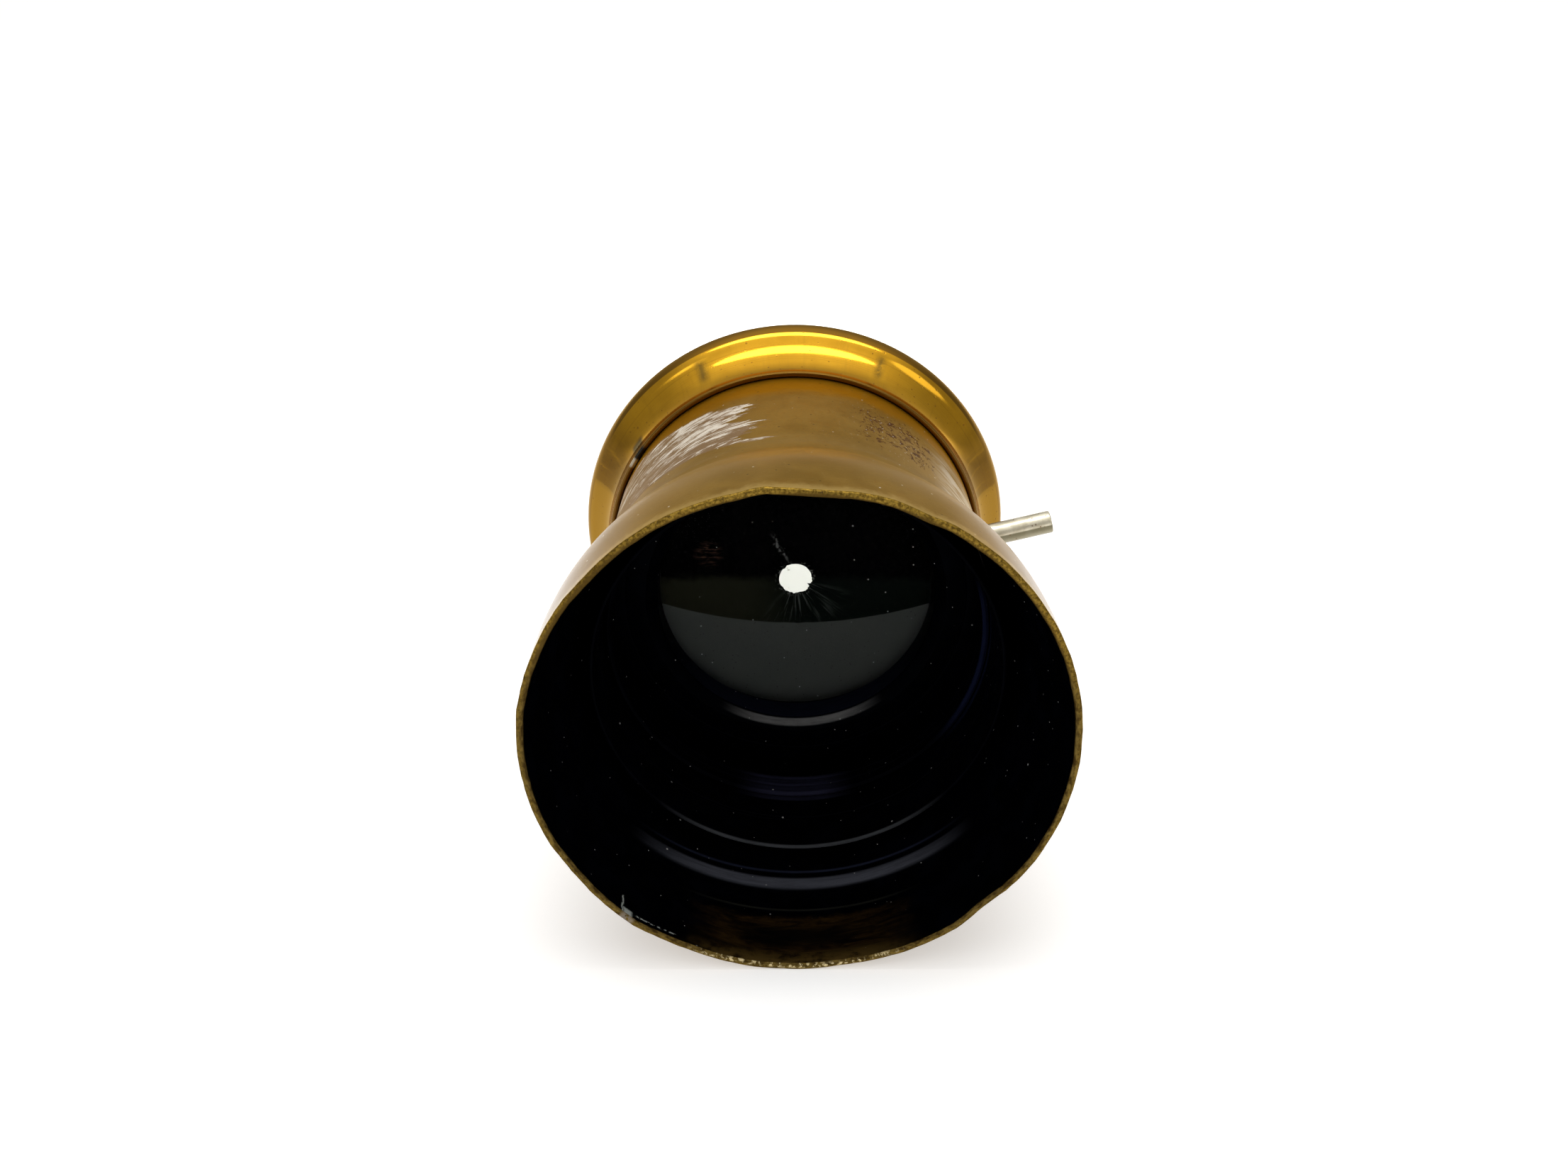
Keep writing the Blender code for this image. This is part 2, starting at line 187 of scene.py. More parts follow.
def lathe_shape(outline, facets=ROUND, shift=None, pick=None, closed=True):
    """A turned surface as a bmesh. shift moves a point, pick names the material of a row."""
    shape = bmesh.new()
    count = len(outline)
    rings = []
    poles = {}
    for j in range(facets):
        degrees = 360 * j / facets
        ring = []
        for i, (radius, station) in enumerate(outline):
            if abs(radius) < 1e-6:
                if i not in poles:
                    poles[i] = shape.verts.new(at(0, 0, station))
                ring.append(poles[i])
                continue
            if shift:
                radius, station = shift(radius, station, degrees)
            ring.append(shape.verts.new(at(radius, degrees, station)))
        rings.append(ring)
    for j in range(facets):
        here, there = rings[j], rings[(j + 1) % facets]
        for i in range(count if closed else count - 1):
            k = (i + 1) % count
            corners = distinct([here[i], here[k], there[k], there[i]])
            if len(corners) < 3:
                continue
            face = shape.faces.new(corners)
            if pick:
                face.material_index = pick(outline[i], outline[k])
    return shape


def lathe(name, outline, mat, body, stands, facets=ROUND, edge=0.2, closed=True):
    """A turned piece of one finish, with its corners eased by edge."""
    shape = lathe_shape(rounded(outline, edge), facets, closed=closed)
    return finished(name, shape, [mat], body, stands)


def disc_outline(front, back, radius):
    return [(0, back), (radius, back), (radius, front), (0, front)]


def bell_radius(station):
    """The outside of the bell: an ogee from the mouth to the tube."""
    turn = math.pi * (station / BELL_LENGTH) ** BELL_SWEEP
    return TUBE_R + (MOUTH_R - TUBE_R) * (1 + math.cos(turn)) / 2


# ---------------------------------------------------------------- finishes

class Value:
    """An output of a node tree, which +, - and * extend by a node."""

    def __init__(self, nodes, socket):
        self.nodes, self.socket = nodes, socket

    def __add__(self, other):
        return self.nodes.math("ADD", self, other)

    def __sub__(self, other):
        return self.nodes.math("SUBTRACT", self, other)

    def __rsub__(self, other):
        return self.nodes.math("SUBTRACT", other, self)

    def __mul__(self, other):
        return self.nodes.math("MULTIPLY", self, other)


class Nodes:
    """A small writer of shader nodes."""

    def __init__(self, tree):
        self.tree = tree

    def node(self, kind, inputs, out=0, **settings):
        """Adds a shader node, fills inputs by number or name, and gives one of its outputs."""
        node = self.tree.nodes.new("ShaderNode" + kind)
        for key, value in settings.items():
            setattr(node, key, value)
        for key, value in inputs.items():
            self.put(node.inputs[key], value)
        return Value(self, node.outputs[out])

    def put(self, socket, value):
        """Links a value to a socket, or sets the number or colour there."""
        if isinstance(value, Value):
            self.tree.links.new(value.socket, socket)
        elif isinstance(value, tuple) and socket.type == "RGBA":
            socket.default_value = (*value, 1)
        else:
            socket.default_value = value

    def parts(self, kind, value):
        """The three numbers in a vector or a colour."""
        first = self.node(kind, {0: value})
        return [Value(self, socket) for socket in first.socket.node.outputs]

    def math(self, operation, a, b=0, clamp=False):
        return self.node("Math", {0: a, 1: b}, operation=operation, use_clamp=clamp)

    def either(self, a, b):
        return self.math("MAXIMUM", a, b)

    def vector(self, operation, a, b=(0, 0, 0)):
        return self.node("VectorMath", {0: a, 1: b}, operation=operation)

    def joined(self, x, y, z=0):
        return self.node("CombineXYZ", {0: x, 1: y, 2: z})

    def mix(self, amount, a, b):
        """A colour between a and b."""
        return self.node("Mix", {0: amount, 6: a, 7: b}, out=2, data_type="RGBA")

    def blend(self, amount, a, b):
        """A number between a and b."""
        return self.node("Mix", {0: amount, 2: a, 3: b}, data_type="FLOAT")

    def smooth(self, value, low, high, at_low, at_high):
        """at_low up to low, at_high from high on, and a smooth step between."""
        return self.node("MapRange", {
            "Value": value, "From Min": low, "From Max": high, "To Min": at_low, "To Max": at_high,
        }, interpolation_type="SMOOTHSTEP")

    def between(self, value, low, high):
        """0 at low and beyond, 1 at high and beyond, smooth between. high may be the lower one."""
        if low > high:
            return self.smooth(value, high, low, 1, 0)
        return self.smooth(value, low, high, 0, 1)

    def window(self, value, low, high, soft):
        """1 between low and high, falling to 0 over soft on each side."""
        return self.between(value, low - soft, low + soft) * self.between(value, high + soft, high - soft)


class Finish(Nodes):
    """The nodes of one procedural material.

    p is the place in millimetres from the middle of the mouth, and x, s and z are its parts, s
    being the station. r and deg are the radius and the angle about the axis.
    """

    def __init__(self, name):
        self.mat = bpy.data.materials.new(name)
        self.mat.use_nodes = True
        super().__init__(self.mat.node_tree)
        self.tree.nodes.clear()
        self.out = self.tree.nodes.new("ShaderNodeOutputMaterial")
        place = self.node("TexCoord", {}, out="Object")
        moved = self.vector("SUBTRACT", place, tuple(AXIS))
        self.p = self.node("VectorMath", {0: moved, "Scale": 1 / MM}, operation="SCALE")
        self.x, self.s, self.z = self.parts("SeparateXYZ", self.p)
        self.r = self.math("SQRT", self.x * self.x + self.z * self.z)
        self.deg = self.math("ARCTAN2", self.z, self.x) * (180 / math.pi)
        self.color = None

    def noise(self, scale=1, where=None, detail=3, rough=0.55, warp=0, offset=0):
        """Noise about 0.5; scale is in features per millimetre."""
        place = self.p if where is None else where
        if offset:
            place = self.vector("ADD", place, (offset, offset * 0.7, -offset * 1.3))
        return self.node("TexNoise", {
            "Vector": place, "Scale": scale, "Detail": detail, "Roughness": rough, "Distortion": warp})

    def streaks(self, x, y, z=0, **settings):
        """Noise over three values, each already times its own features per unit."""
        return self.noise(1, self.joined(x, y, z), **settings)

    def cells(self, scale, offset):
        """(distance to the nearest cell point, a random value per cell)."""
        place = self.vector("ADD", self.p, (offset, -offset, offset * 0.5))
        away = self.node(
            "TexVoronoi", {"Vector": place, "Scale": scale, "Randomness": 1}, out="Distance")
        color = Value(self, away.socket.node.outputs["Color"])
        return away, self.parts("SeparateColor", color)[0]

    def specks(self, scale, size, share, offset=0):
        """Sparse small round spots: share of the cells hold one, of radius size in millimetres."""
        away, chance = self.cells(scale, offset)
        spot = self.between(away, size * scale, size * scale * 0.5)
        return spot * self.between(chance, 1 - share, 1 - share + 0.02)

    def turning(self, pitch, offset=0):
        """Fine grooves left by a lathe tool, closed circles round the axis."""
        return self.streaks(self.r * pitch + offset, self.s * pitch, detail=4, rough=0.7)

    def bumped(self, height, distance):
        """A normal from a height; distance is in millimetres per unit of height."""
        return self.node("Bump", {"Height": height, "Distance": distance * MM, "Strength": 1})

    def paint(self, tone, where, amount=None):
        """Lays a tone over the colour so far, where and as strongly as the mask says."""
        self.color = self.mix(where if amount is None else where * amount, self.color, tone)

    def finish(self, shader):
        self.put(self.out.inputs[0], shader)
        return self.mat

    def shade(self, **values):
        """The material, as a Principled shader of these values over the colour painted so far."""
        inputs = {key.replace("_", " "): value for key, value in values.items()}
        return self.finish(self.node("BsdfPrincipled", {"Base Color": self.color, **inputs}))


def brown_lacquer():
    """Old brown lacquer on drawn brass: mottled, scratched, rubbed through in places."""
    f = Finish("brown_lacquer")
    arc = f.deg * (TUBE_R * math.pi / 180)
    cloud = f.noise(0.22, detail=4, warp=0.6, offset=31)
    grain = f.noise(2.2, offset=7)
    mottled = f.noise(0.045, detail=2) * 0.6 + cloud * 0.4
    f.color = f.mix(f.between(mottled, 0.36, 0.64), (0.24, 0.134, 0.024), (0.33, 0.196, 0.042))
    f.paint((0.165, 0.09, 0.018), f.between(grain, 0.52, 0.75), 0.25)
    # painted reflection: the amber band ahead of the collar stands for the golden flange mirrored in the
    # tube
    amber = f.between(f.s + f.noise(0.25, offset=2) * 5, 60.5, 65.5)
    f.paint((0.39, 0.178, 0.003), amber, 0.95)
    lines = f.streaks(arc * 0.1, f.s * 1.6, detail=5, rough=0.75, warp=0.4)
    hair = f.between(lines, 0.6, 0.68)
    f.paint((0.4, 0.275, 0.11), hair, 0.3)
    # painted shade: a darker brown band over the top of the bell near its mouth dims its highlight
    painted_swell_shade = f.window(f.s, 9, 15.5, 4) * f.window(f.deg, 55, 125, 20)
    f.paint((0.19, 0.1, 0.012), painted_swell_shade, 0.45)
    hollow = f.window(f.s, 30, 38.5, 4)
    f.paint((0.235, 0.15, 0.048), hollow, 0.55)
    stain_and_reflection = f.noise(0.55, detail=6, rough=0.72, warp=1.2, offset=64)
    f.paint((0.255, 0.118, 0.016), f.between(stain_and_reflection, 0.54, 0.66), 0.42)
    f.paint((0.36, 0.235, 0.072), f.between(stain_and_reflection, 0.42, 0.34), 0.3)

    # the patch rubbed through to pale metal, upper left as seen from the mouth
    past_start = f.deg - 105
    upper = past_start * 0.2 + 57.6
    lower = past_start * 0.12 + 37.5
    above = f.s - lower
    inside = f.between(upper - f.s, -2.5, 2.5) * f.between(above, -2.5, 2.5)
    fray = f.streaks(f.deg * 0.02, f.s * 0.3, detail=4, rough=0.6, offset=81)
    inside = inside * f.window(f.deg + (fray - 0.5) * 46, 101, 172, 7)
    edge = f.streaks(arc * 0.22, f.s * 0.42, detail=5, rough=0.65, offset=12)
    worn = f.between(inside + edge * 1.1, 1.1, 1.42)
    f.paint((0.275, 0.185, 0.118), worn, 0.78)
    stroke = f.streaks(arc * 0.12, f.s * 0.5 + arc * 0.05, detail=7, rough=0.7, warp=1.5, offset=6)
    thread = f.streaks(arc * 0.42, f.s * 4.6, detail=4, rough=0.75, warp=0.6, offset=16)
    high = f.between(above, 3, 12) * 0.06 + f.between(f.deg, 118, 150) * -0.06
    rub_and_sheen = f.between((stroke + high) + (worn * 0.24 + thread * 0.4), 0.925, 1.075)
    rub_and_sheen = rub_and_sheen * f.between(worn, 0.15, 0.7)
    f.paint(f.mix(thread, (0.6, 0.53, 0.43), (0.84, 0.79, 0.69)), rub_and_sheen, 0.92)
    dirt = worn * f.between(f.noise(1.5, detail=4, rough=0.7, offset=71), 0.6, 0.7)
    f.paint((0.11, 0.058, 0.034), dirt, 0.55)

    # dark red pits, upper right, and sparse specks all over
    pit_place = f.window(f.deg, 47, 74, 7) * f.window(f.s, 41, 59, 5)
    blot = f.streaks(arc * 0.95, f.s * 0.6, detail=6, rough=0.75, warp=0.8, offset=55)
    blots = f.between(blot + pit_place * 0.17, 0.672, 0.73)
    f.paint((0.07, 0.02, 0.01), blots, 0.9)
    flecks = f.specks(1.1, 0.16, 0.6, offset=3) * pit_place
    f.paint((0.72, 0.66, 0.56), f.either(flecks, f.specks(0.42, 0.2, 0.6, offset=17)))
    dots = f.specks(0.55, 0.22, 0.3, offset=41)
    f.paint((0.055, 0.026, 0.012), dots, 0.8)

    # the paler streaks low on the right are a painted reflection; then the grime at the collar and the
    # bright lip
    pale = f.window(f.deg, 22, 44, 7) * f.window(f.s, 30, 58, 9)
    reflection_streaks = f.streaks(arc * 0.1, f.s * 0.45, detail=6, rough=0.7, warp=0.8, offset=90)
    f.paint((0.68, 0.66, 0.62), pale * f.between(reflection_streaks, 0.36, 0.6), 0.85)
    f.paint((0.17, 0.09, 0.016), f.between(f.s, 67.3, 68.2), 0.6)
    lip = f.between(f.s + f.noise(0.8, detail=4, offset=5) * -3, 1.2, -1)
    f.paint((0.5, 0.34, 0.11), lip, 0.85)

    rough = cloud * 0.14 + 0.33 + f.either(worn, blots) * 0.2 + hair * 0.05 + hollow * 0.16
    flank = (1 - f.window(f.deg, 40, 140, 22)) * f.between(f.s, 44, 26)
    height = grain * 0.22 + lines * 0.5 + rub_and_sheen * -0.6 + f.either(dots, blots) * -0.7
    return f.shade(
        Metallic=f.blend(rub_and_sheen, 0.93, 0.35), Roughness=rough,
        Specular_Tint=f.mix(flank, (0.82, 0.68, 0.46), (1, 0.98, 0.95)),
        Coat_Weight=f.blend(flank, 0.05, 0.85), Coat_Roughness=0.16, Normal=f.bumped(height, 0.018))


def rim_brass():
    """The bell's bare edge: rubbed brass with dark nicks, a chip of old paint, painted shade below its top
    and painted glints along its bottom.
    """
    f = Finish("rim_brass")
    streak = f.streaks(f.deg * 1.5, f.r * 2, f.s * 2, detail=5, rough=0.7)
    fine = f.noise(3, offset=9)
    outer = f.mix(f.between(streak, 0.38, 0.62), (0.095, 0.055, 0.008), (0.29, 0.18, 0.028))
    inner = f.mix(streak, (0.04, 0.022, 0.004), (0.105, 0.062, 0.012))
    f.color = f.mix(f.between(f.r, 39, 39.6), inner, outer)
    nick = f.between(f.noise(1.4, detail=4, rough=0.7, offset=23), 0.61, 0.7)
    f.paint((0.045, 0.028, 0.014), nick, 0.8)
    # painted shade: below its top the rim is painted darker and blotchy
    blotch = f.streaks(f.deg * 0.45, f.r * 1.6, f.s * 1.6, detail=4, rough=0.65, offset=27)
    painted_low_shade = f.mix(f.between(blotch, 0.36, 0.64), (0.014, 0.007, 0.002), (0.15, 0.102, 0.026))
    f.paint(painted_low_shade, f.between(f.z, 22, 4) * 0.72)
    chip = f.between(f.noise(1.6, detail=4, offset=2), 0.4, 0.5)
    chip = f.window(f.deg, -132.6, -129.4, 0.6) * chip
    f.paint((0.2, 0.17, 0.145), chip, 0.6)
    # painted glints: bright flecks along the bottom of the rim
    bright = f.streaks(f.deg * 0.9, f.r * 1.2, detail=4, rough=0.65, offset=57)
    bottom = f.window(f.deg, -112, -68, 5) * f.window(f.r, 38.9, 39.5, 0.25)
    f.paint((0.8, 0.66, 0.36), bottom * f.between(bright, 0.5, 0.6), 0.8)
    return f.shade(
        Metallic=f.blend(chip, 0.92, 0.1), Roughness=fine * 0.22 + 0.34, Specular_Tint=(0.78, 0.64, 0.4),
        Normal=f.bumped(streak * 0.6 + nick * -0.8, 0.05))


def golden_lacquer():
    """Polished brass under clean golden lacquer, with tool marks, pits, two dark radial marks and painted
    reflections on its flanks.
    """
    f = Finish("golden_lacquer")
    cut = f.turning(2.6)
    cloud = f.noise(0.16, offset=4)
    f.color = f.mix(f.between(cloud, 0.35, 0.68), (0.62, 0.312, 0.01), (0.7, 0.362, 0.014))
    groove = f.blend(f.between(f.r, 37.2, 38.2), 0.42, 0.52)
    f.paint((0.4, 0.19, 0.008), f.between(cut, 0.54, 0.7) * groove)

    # painted reflection: the flange's flanks are painted darker, with sharp edges, and below the widest
    # part it is painted a plainer middle tone
    painted_dark_flanks = f.either(f.window(f.deg, 128, 164.6, 0.5), f.window(f.deg, 13.8, 48, 0.5))
    painted_dark_flanks = painted_dark_flanks * f.either(f.between(f.deg, 138, 157), f.between(f.deg, 40, 22))
    f.paint((0.085, 0.039, 0.004), painted_dark_flanks, 0.86)
    wipe = f.streaks(f.deg * 0.42, f.r * 0.1, detail=5, rough=0.7, offset=37)
    f.paint((0.5, 0.255, 0.01), f.between(wipe, 0.5, 0.72), 0.34)
    # painted reflection: the middle tone below the widest part, parted from the flanks by a sharp edge
    low = f.either(f.between(f.deg, 163.2, 164), f.between(f.deg, 15.2, 14.4))
    f.paint((0.25, 0.13, 0.01), low, 0.94)
    # two dark radial marks across the cove, at fixed angles
    dark_radial_mark = f.either(f.window(f.deg, 116, 118.6, 1.5), f.window(f.deg, 64.6, 66.6, 1.3))
    dark_radial_mark = dark_radial_mark * f.window(f.r, 35.4, 38.2, 0.7) * f.between(f.noise(0.55, offset=8), 0.22, 0.46)
    f.paint((0.12, 0.07, 0.009), dark_radial_mark, 0.92)
    pits = f.either(f.specks(0.75, 0.2, 0.8, offset=6), f.specks(0.4, 0.28, 0.5, offset=66))
    f.paint((0.16, 0.066, 0.006), pits, 0.75)
    wear = f.between(f.noise(0.7, detail=4, offset=14), 0.05, 0.3)
    f.paint((0.19, 0.09, 0.004), f.between(f.r, 39.05, 39.2) * wear, 0.92)

    # the collar's front edge: tarnish, a black mark and a pale fleck beside it
    tarnish = f.between(f.s + f.noise(0.6, detail=4, offset=44) * 1, 70.6, 69)
    f.paint((0.215, 0.095, 0.008), tarnish, 0.7)
    front_face = f.between(f.r, 34.46, 34.36)
    f.paint((0.13, 0.062, 0.006), front_face, 0.9)
    mark = f.window(f.deg, 142.8, 147.8, 0.9) * f.between(f.s, 72.6, 71.2)
    mark = mark * f.between(f.noise(0.7, detail=4, offset=33), 0.2, 0.34)
    f.paint((0.006, 0.01, 0.012), mark, 0.92)
    fleck = f.window(f.deg, 147.6, 150.6, 0.5) * f.window(f.s, 68, 68.7, 0.3)
    f.paint((0.62, 0.58, 0.46), fleck, 0.9)

    scuff = f.streaks(f.deg * 0.06, f.r * 2.4, f.s * 2.4, detail=5, rough=0.7)
    rough = f.between(scuff, 0.5, 0.8) * 0.1 + 0.105
    rough = rough + f.either(dark_radial_mark, f.either(pits, front_face)) * 0.25
    return f.shade(
        Metallic=1, Roughness=rough, Specular_Tint=(0.88, 0.74, 0.5), Coat_Weight=0.22,
        Coat_Roughness=0.1, Normal=f.bumped(cut * 0.5 + pits * -0.9, 0.006))


def turned_brass():
    """Plain turned brass with a warm patina, fine tool marks and finger wear."""
    f = Finish("turned_brass")
    cut = f.turning(3.2, offset=11)
    cloud = f.noise(0.14, detail=5, warp=0.8, offset=77)
    f.color = f.mix(f.between(cloud, 0.36, 0.66), (0.34, 0.195, 0.045), (0.52, 0.325, 0.09))
    f.paint((0.24, 0.13, 0.032), f.between(cut, 0.52, 0.72), 0.35)
    stain_and_reflection = f.between(f.noise(0.42, detail=5, rough=0.7, offset=19), 0.6, 0.7)
    f.paint((0.09, 0.045, 0.016), stain_and_reflection, 0.5)
    dots = f.specks(0.6, 0.2, 0.5, offset=13)
    f.paint((0.07, 0.036, 0.016), dots, 0.7)
    scuff = f.streaks(f.deg * 0.08, f.s * 2.1, f.r * 2.1, detail=5, rough=0.7)
    return f.shade(
        Metallic=1, Roughness=f.between(scuff, 0.42, 0.75) * 0.16 + 0.2 + stain_and_reflection * 0.14,
        Specular_Tint=(0.86, 0.74, 0.54), Normal=f.bumped(cut * 0.6 + dots * -0.7, 0.014))


def bare_steel():
    """Plain steel wire or screw stock, a little yellowed, with draw marks along it and a painted shade
    under the pin.
    """
    f = Finish("bare_steel")
    direction = math.radians(PIN_ANGLE)
    along = f.x * math.cos(direction) + f.z * math.sin(direction)
    across = f.x * -math.sin(direction) + f.z * math.cos(direction)
    drawn = f.streaks(along * 0.5, across * 5, f.s * 5, detail=4, rough=0.7)
    cloud = f.noise(0.5, detail=4, offset=6)
    f.color = f.mix(f.between(cloud, 0.35, 0.68), (0.6, 0.545, 0.4), (0.8, 0.745, 0.59))
    f.paint((0.2, 0.165, 0.105), f.between(drawn, 0.56, 0.72), 0.5)
    # painted shade: outside the tube the pin is painted darker on its underside
    shaded = f.mix(f.between(across, -0.1, -1.2), (0.11, 0.096, 0.05), (0.27, 0.245, 0.16))
    f.paint(shaded, f.between(across, 0.35, 0.05) * f.between(along, 30, 34), 0.88)
    rust = f.specks(1.3, 0.18, 0.55, offset=5)
    f.paint((0.16, 0.075, 0.03), rust, 0.7)
    return f.shade(
        Metallic=1, Roughness=drawn * 0.16 + 0.22, Normal=f.bumped(drawn * 0.7 + rust * -0.6, 0.012))


def hood_black(name, sheen_bands, worn_mouth=False):
    """Brushed-on optical black, faintly blue, with dust and paler painted highlights that stand for its
    sheen.

    A band gives its stations and angles, each as low, high and softness, its tone and its strength.
    worn_mouth adds the bare, tarnished place and the chips low behind the bell's lip.
    """
    f = Finish(name)
    brush = f.streaks(f.deg * 0.1, f.s * 1.7, f.r * 1.7, detail=5, rough=0.7)
    fine = f.turning(5, offset=3)
    cloud = f.noise(0.25, offset=29)
    f.color = f.mix(f.between(cloud, 0.4, 0.7), (0.0002, 0.0002, 0.0005), (0.0006, 0.0007, 0.0016))
    rub_and_sheen = f.between(brush + fine * 0.3, 0.42, 0.78)
    # painted highlights: each one lays a paler tone where the sheen of the black paint would show
    for stations, angles, tone, amount in sheen_bands:
        f.paint(tone, f.window(f.s, *stations) * f.window(f.deg, *angles), rub_and_sheen * 0.3 + amount)
    dust = f.either(f.specks(0.3, 0.22, 0.7, offset=4), f.specks(0.55, 0.13, 0.7, offset=61))
    dust = dust * f.between(f.noise(0.15, detail=2, offset=50), 0.42, 0.58)
    f.paint((0.34, 0.34, 0.33), dust)
    rough = brush * 0.12 + 0.26
    metal = 0
    if worn_mouth:
        ragged = f.noise(0.5, detail=5, rough=0.65, offset=3)
        edge = (ragged - 0.5) * 3.5 + 11
        worn = f.window(f.deg + (ragged - 0.5) * 12, -110, -68, 8)
        worn = f.between(edge - f.s, -0.5, 1) * worn
        lane = f.streaks(f.deg * 0.1, f.s * 0.75, detail=6, rough=0.72, warp=0.7)
        tarnish = f.mix(f.between(lane, 0.36, 0.7), (0.002, 0.001, 0.001), (0.03, 0.016, 0.004))
        dark = f.window(f.deg, -103, -78, 5) * f.window(f.s, 4.6, 8.6, 1.4)
        tarnish = f.mix(dark * 0.9, tarnish, (0.001, 0.001, 0.001))
        near_lip = f.between(f.s, 4, 0.4) * f.between(ragged, 0.3, 0.55)
        tarnish = f.mix(near_lip * 0.8, tarnish, (0.09, 0.055, 0.014))
        f.paint(tarnish, worn, 0.95)
        wander = f.deg + f.noise(0.9, offset=70) * 1.6
        scar = f.window(wander, -132.3, -131.9, 0.25) * f.between(f.s, 4.2, 3.8)
        blob = f.window(wander, -131.6, -129.2, 0.5) * f.between(f.s, 1.9, 1.3)
        dashes = f.window(f.deg, -129, -118.5, 0.8) * f.window(f.s, 1.2, 1.5, 0.15)
        dashes = dashes * f.between(f.noise(1.8, offset=51), 0.5, 0.56)
        f.paint((0.4, 0.43, 0.4), f.either(f.either(scar, blob), dashes), 0.85)
        metal = worn * 0.15
        rough = rough + worn * 0.1
    return f.shade(
        Metallic=metal, Roughness=rough, Specular_IOR_Level=0.01, Specular_Tint=(0.62, 0.72, 1),
        Normal=f.bumped(brush * 0.6 + dust * 0.5, 0.01))


def black_paper():
    """The pierced disc: black paper, creased round the hole, with painted light on its lower half and a
    pale crescent low on it.
    """
    f = Finish("black_paper")
    fibre = f.noise(4.5)
    # painted light: the lower half is painted faintly lit, lighter on the left, with a pale crescent of
    # painted light low on the disc
    painted_crescent = f.between(f.z + f.x * f.x * -0.0068, -8.7, -8.95)
    haze = f.between(f.z + f.noise(0.5, detail=4, offset=21) * 2.4, 2.4, 0.2)
    side = f.mix(f.between(f.x, -12, 3), (0.016, 0.016, 0.01), (0.003, 0.005, 0.004))
    f.color = f.mix(haze, (0.0004, 0.0004, 0.0005), side)
    f.paint(f.mix(f.noise(0.12, detail=2), (0.058, 0.064, 0.062), (0.068, 0.07, 0.066)), painted_crescent)
    f.paint((0.014, 0.014, 0.014), f.specks(1.2, 0.13, 0.55, offset=8) * painted_crescent, 0.7)
    f.paint((0.3, 0.32, 0.32), f.specks(0.5, 0.16, 0.55, offset=37), 0.8)

    # a painted brown reflection left of the hole, pale rays along the folds and a streak above them
    to_brown_reflection = f.vector("SUBTRACT", f.joined(f.x, 0, f.z), (-15.4, 0, 4.8))
    spot = f.between(f.node("VectorMath", {0: to_brown_reflection}, "Value", operation="LENGTH"), 3.2, 0.8)
    stain_and_reflection = f.noise(0.9, f.joined(f.x * 0.4, 0, f.z * 2), detail=5, rough=0.7)
    f.paint((0.06, 0.03, 0.02), spot * f.between(stain_and_reflection, 0.46, 0.62), 0.8)
    ray = f.streaks(f.deg * 0.2, f.r * 0.1, detail=4, rough=0.6, offset=14)
    ray = f.between(ray, 0.5, 0.63) * f.between(f.r, 12, 3.5)
    f.paint((0.066, 0.074, 0.07), ray * f.window(f.deg, -122, -20, 14), 0.85)
    bent = f.deg + f.noise(0.35, offset=46) * 24
    streak = f.window(bent, 126, 131, 2.2) * f.window(f.r, 4, 9, 1.2)
    streak = streak * f.between(f.noise(2.2, detail=4, offset=18), 0.4, 0.6)
    f.paint((0.1, 0.104, 0.104), streak, 0.9)
    edge = f.between(f.r, EYEHOLE_R + 0.9, EYEHOLE_R + 0.1)
    f.paint((0.16, 0.16, 0.15), edge, f.between(f.noise(1.6, detail=4), 0.5, 0.66) * 0.6)
    return f.shade(
        Roughness=fibre * 0.25 + 0.42, Specular_IOR_Level=0.005, Normal=f.bumped(fibre, 0.03))


def black_card():
    """Fibrous black card, rubbed grey in places."""
    f = Finish("black_card")
    fibre = f.noise(3, detail=4)
    wear = f.between(f.noise(0.6, detail=5, offset=5), 0.58, 0.7)
    f.color = f.mix(f.between(fibre, 0.35, 0.65), (0.008, 0.0075, 0.0075), (0.02, 0.018, 0.017))
    f.paint((0.06, 0.05, 0.042), wear, 0.5)
    return f.shade(Roughness=0.85, Normal=f.bumped(fibre, 0.05))


def cork_sheet():
    """Pressed cork: grains of many browns with dark seams."""
    f = Finish("cork_sheet")
    away, chance = f.cells(0.9, 2)
    grain = f.noise(1.6, detail=5, rough=0.7)
    f.color = f.mix(chance, (0.24, 0.125, 0.055), (0.46, 0.285, 0.15))
    f.paint((0.09, 0.042, 0.018), f.between(grain, 0.56, 0.7))
    seam = f.between(away, 0.5, 0.62)
    f.paint((0.13, 0.065, 0.03), seam, 0.5)
    return f.shade(Roughness=0.88, Normal=f.bumped(seam * -0.5 + grain * -0.7, 0.1))


def silvered_mirror():
    """Front-silvered glass with a few brown spots and a breath of haze."""
    f = Finish("silvered_mirror")
    spots = f.specks(0.5, 0.35, 0.2, offset=3)
    haze = f.between(f.noise(0.1, detail=4), 0.58, 0.8)
    f.color = f.mix(spots * 0.7, (0.93, 0.94, 0.94), (0.3, 0.26, 0.2))
    return f.shade(Metallic=1, Roughness=haze * 0.05 + 0.012 + spots * 0.3)


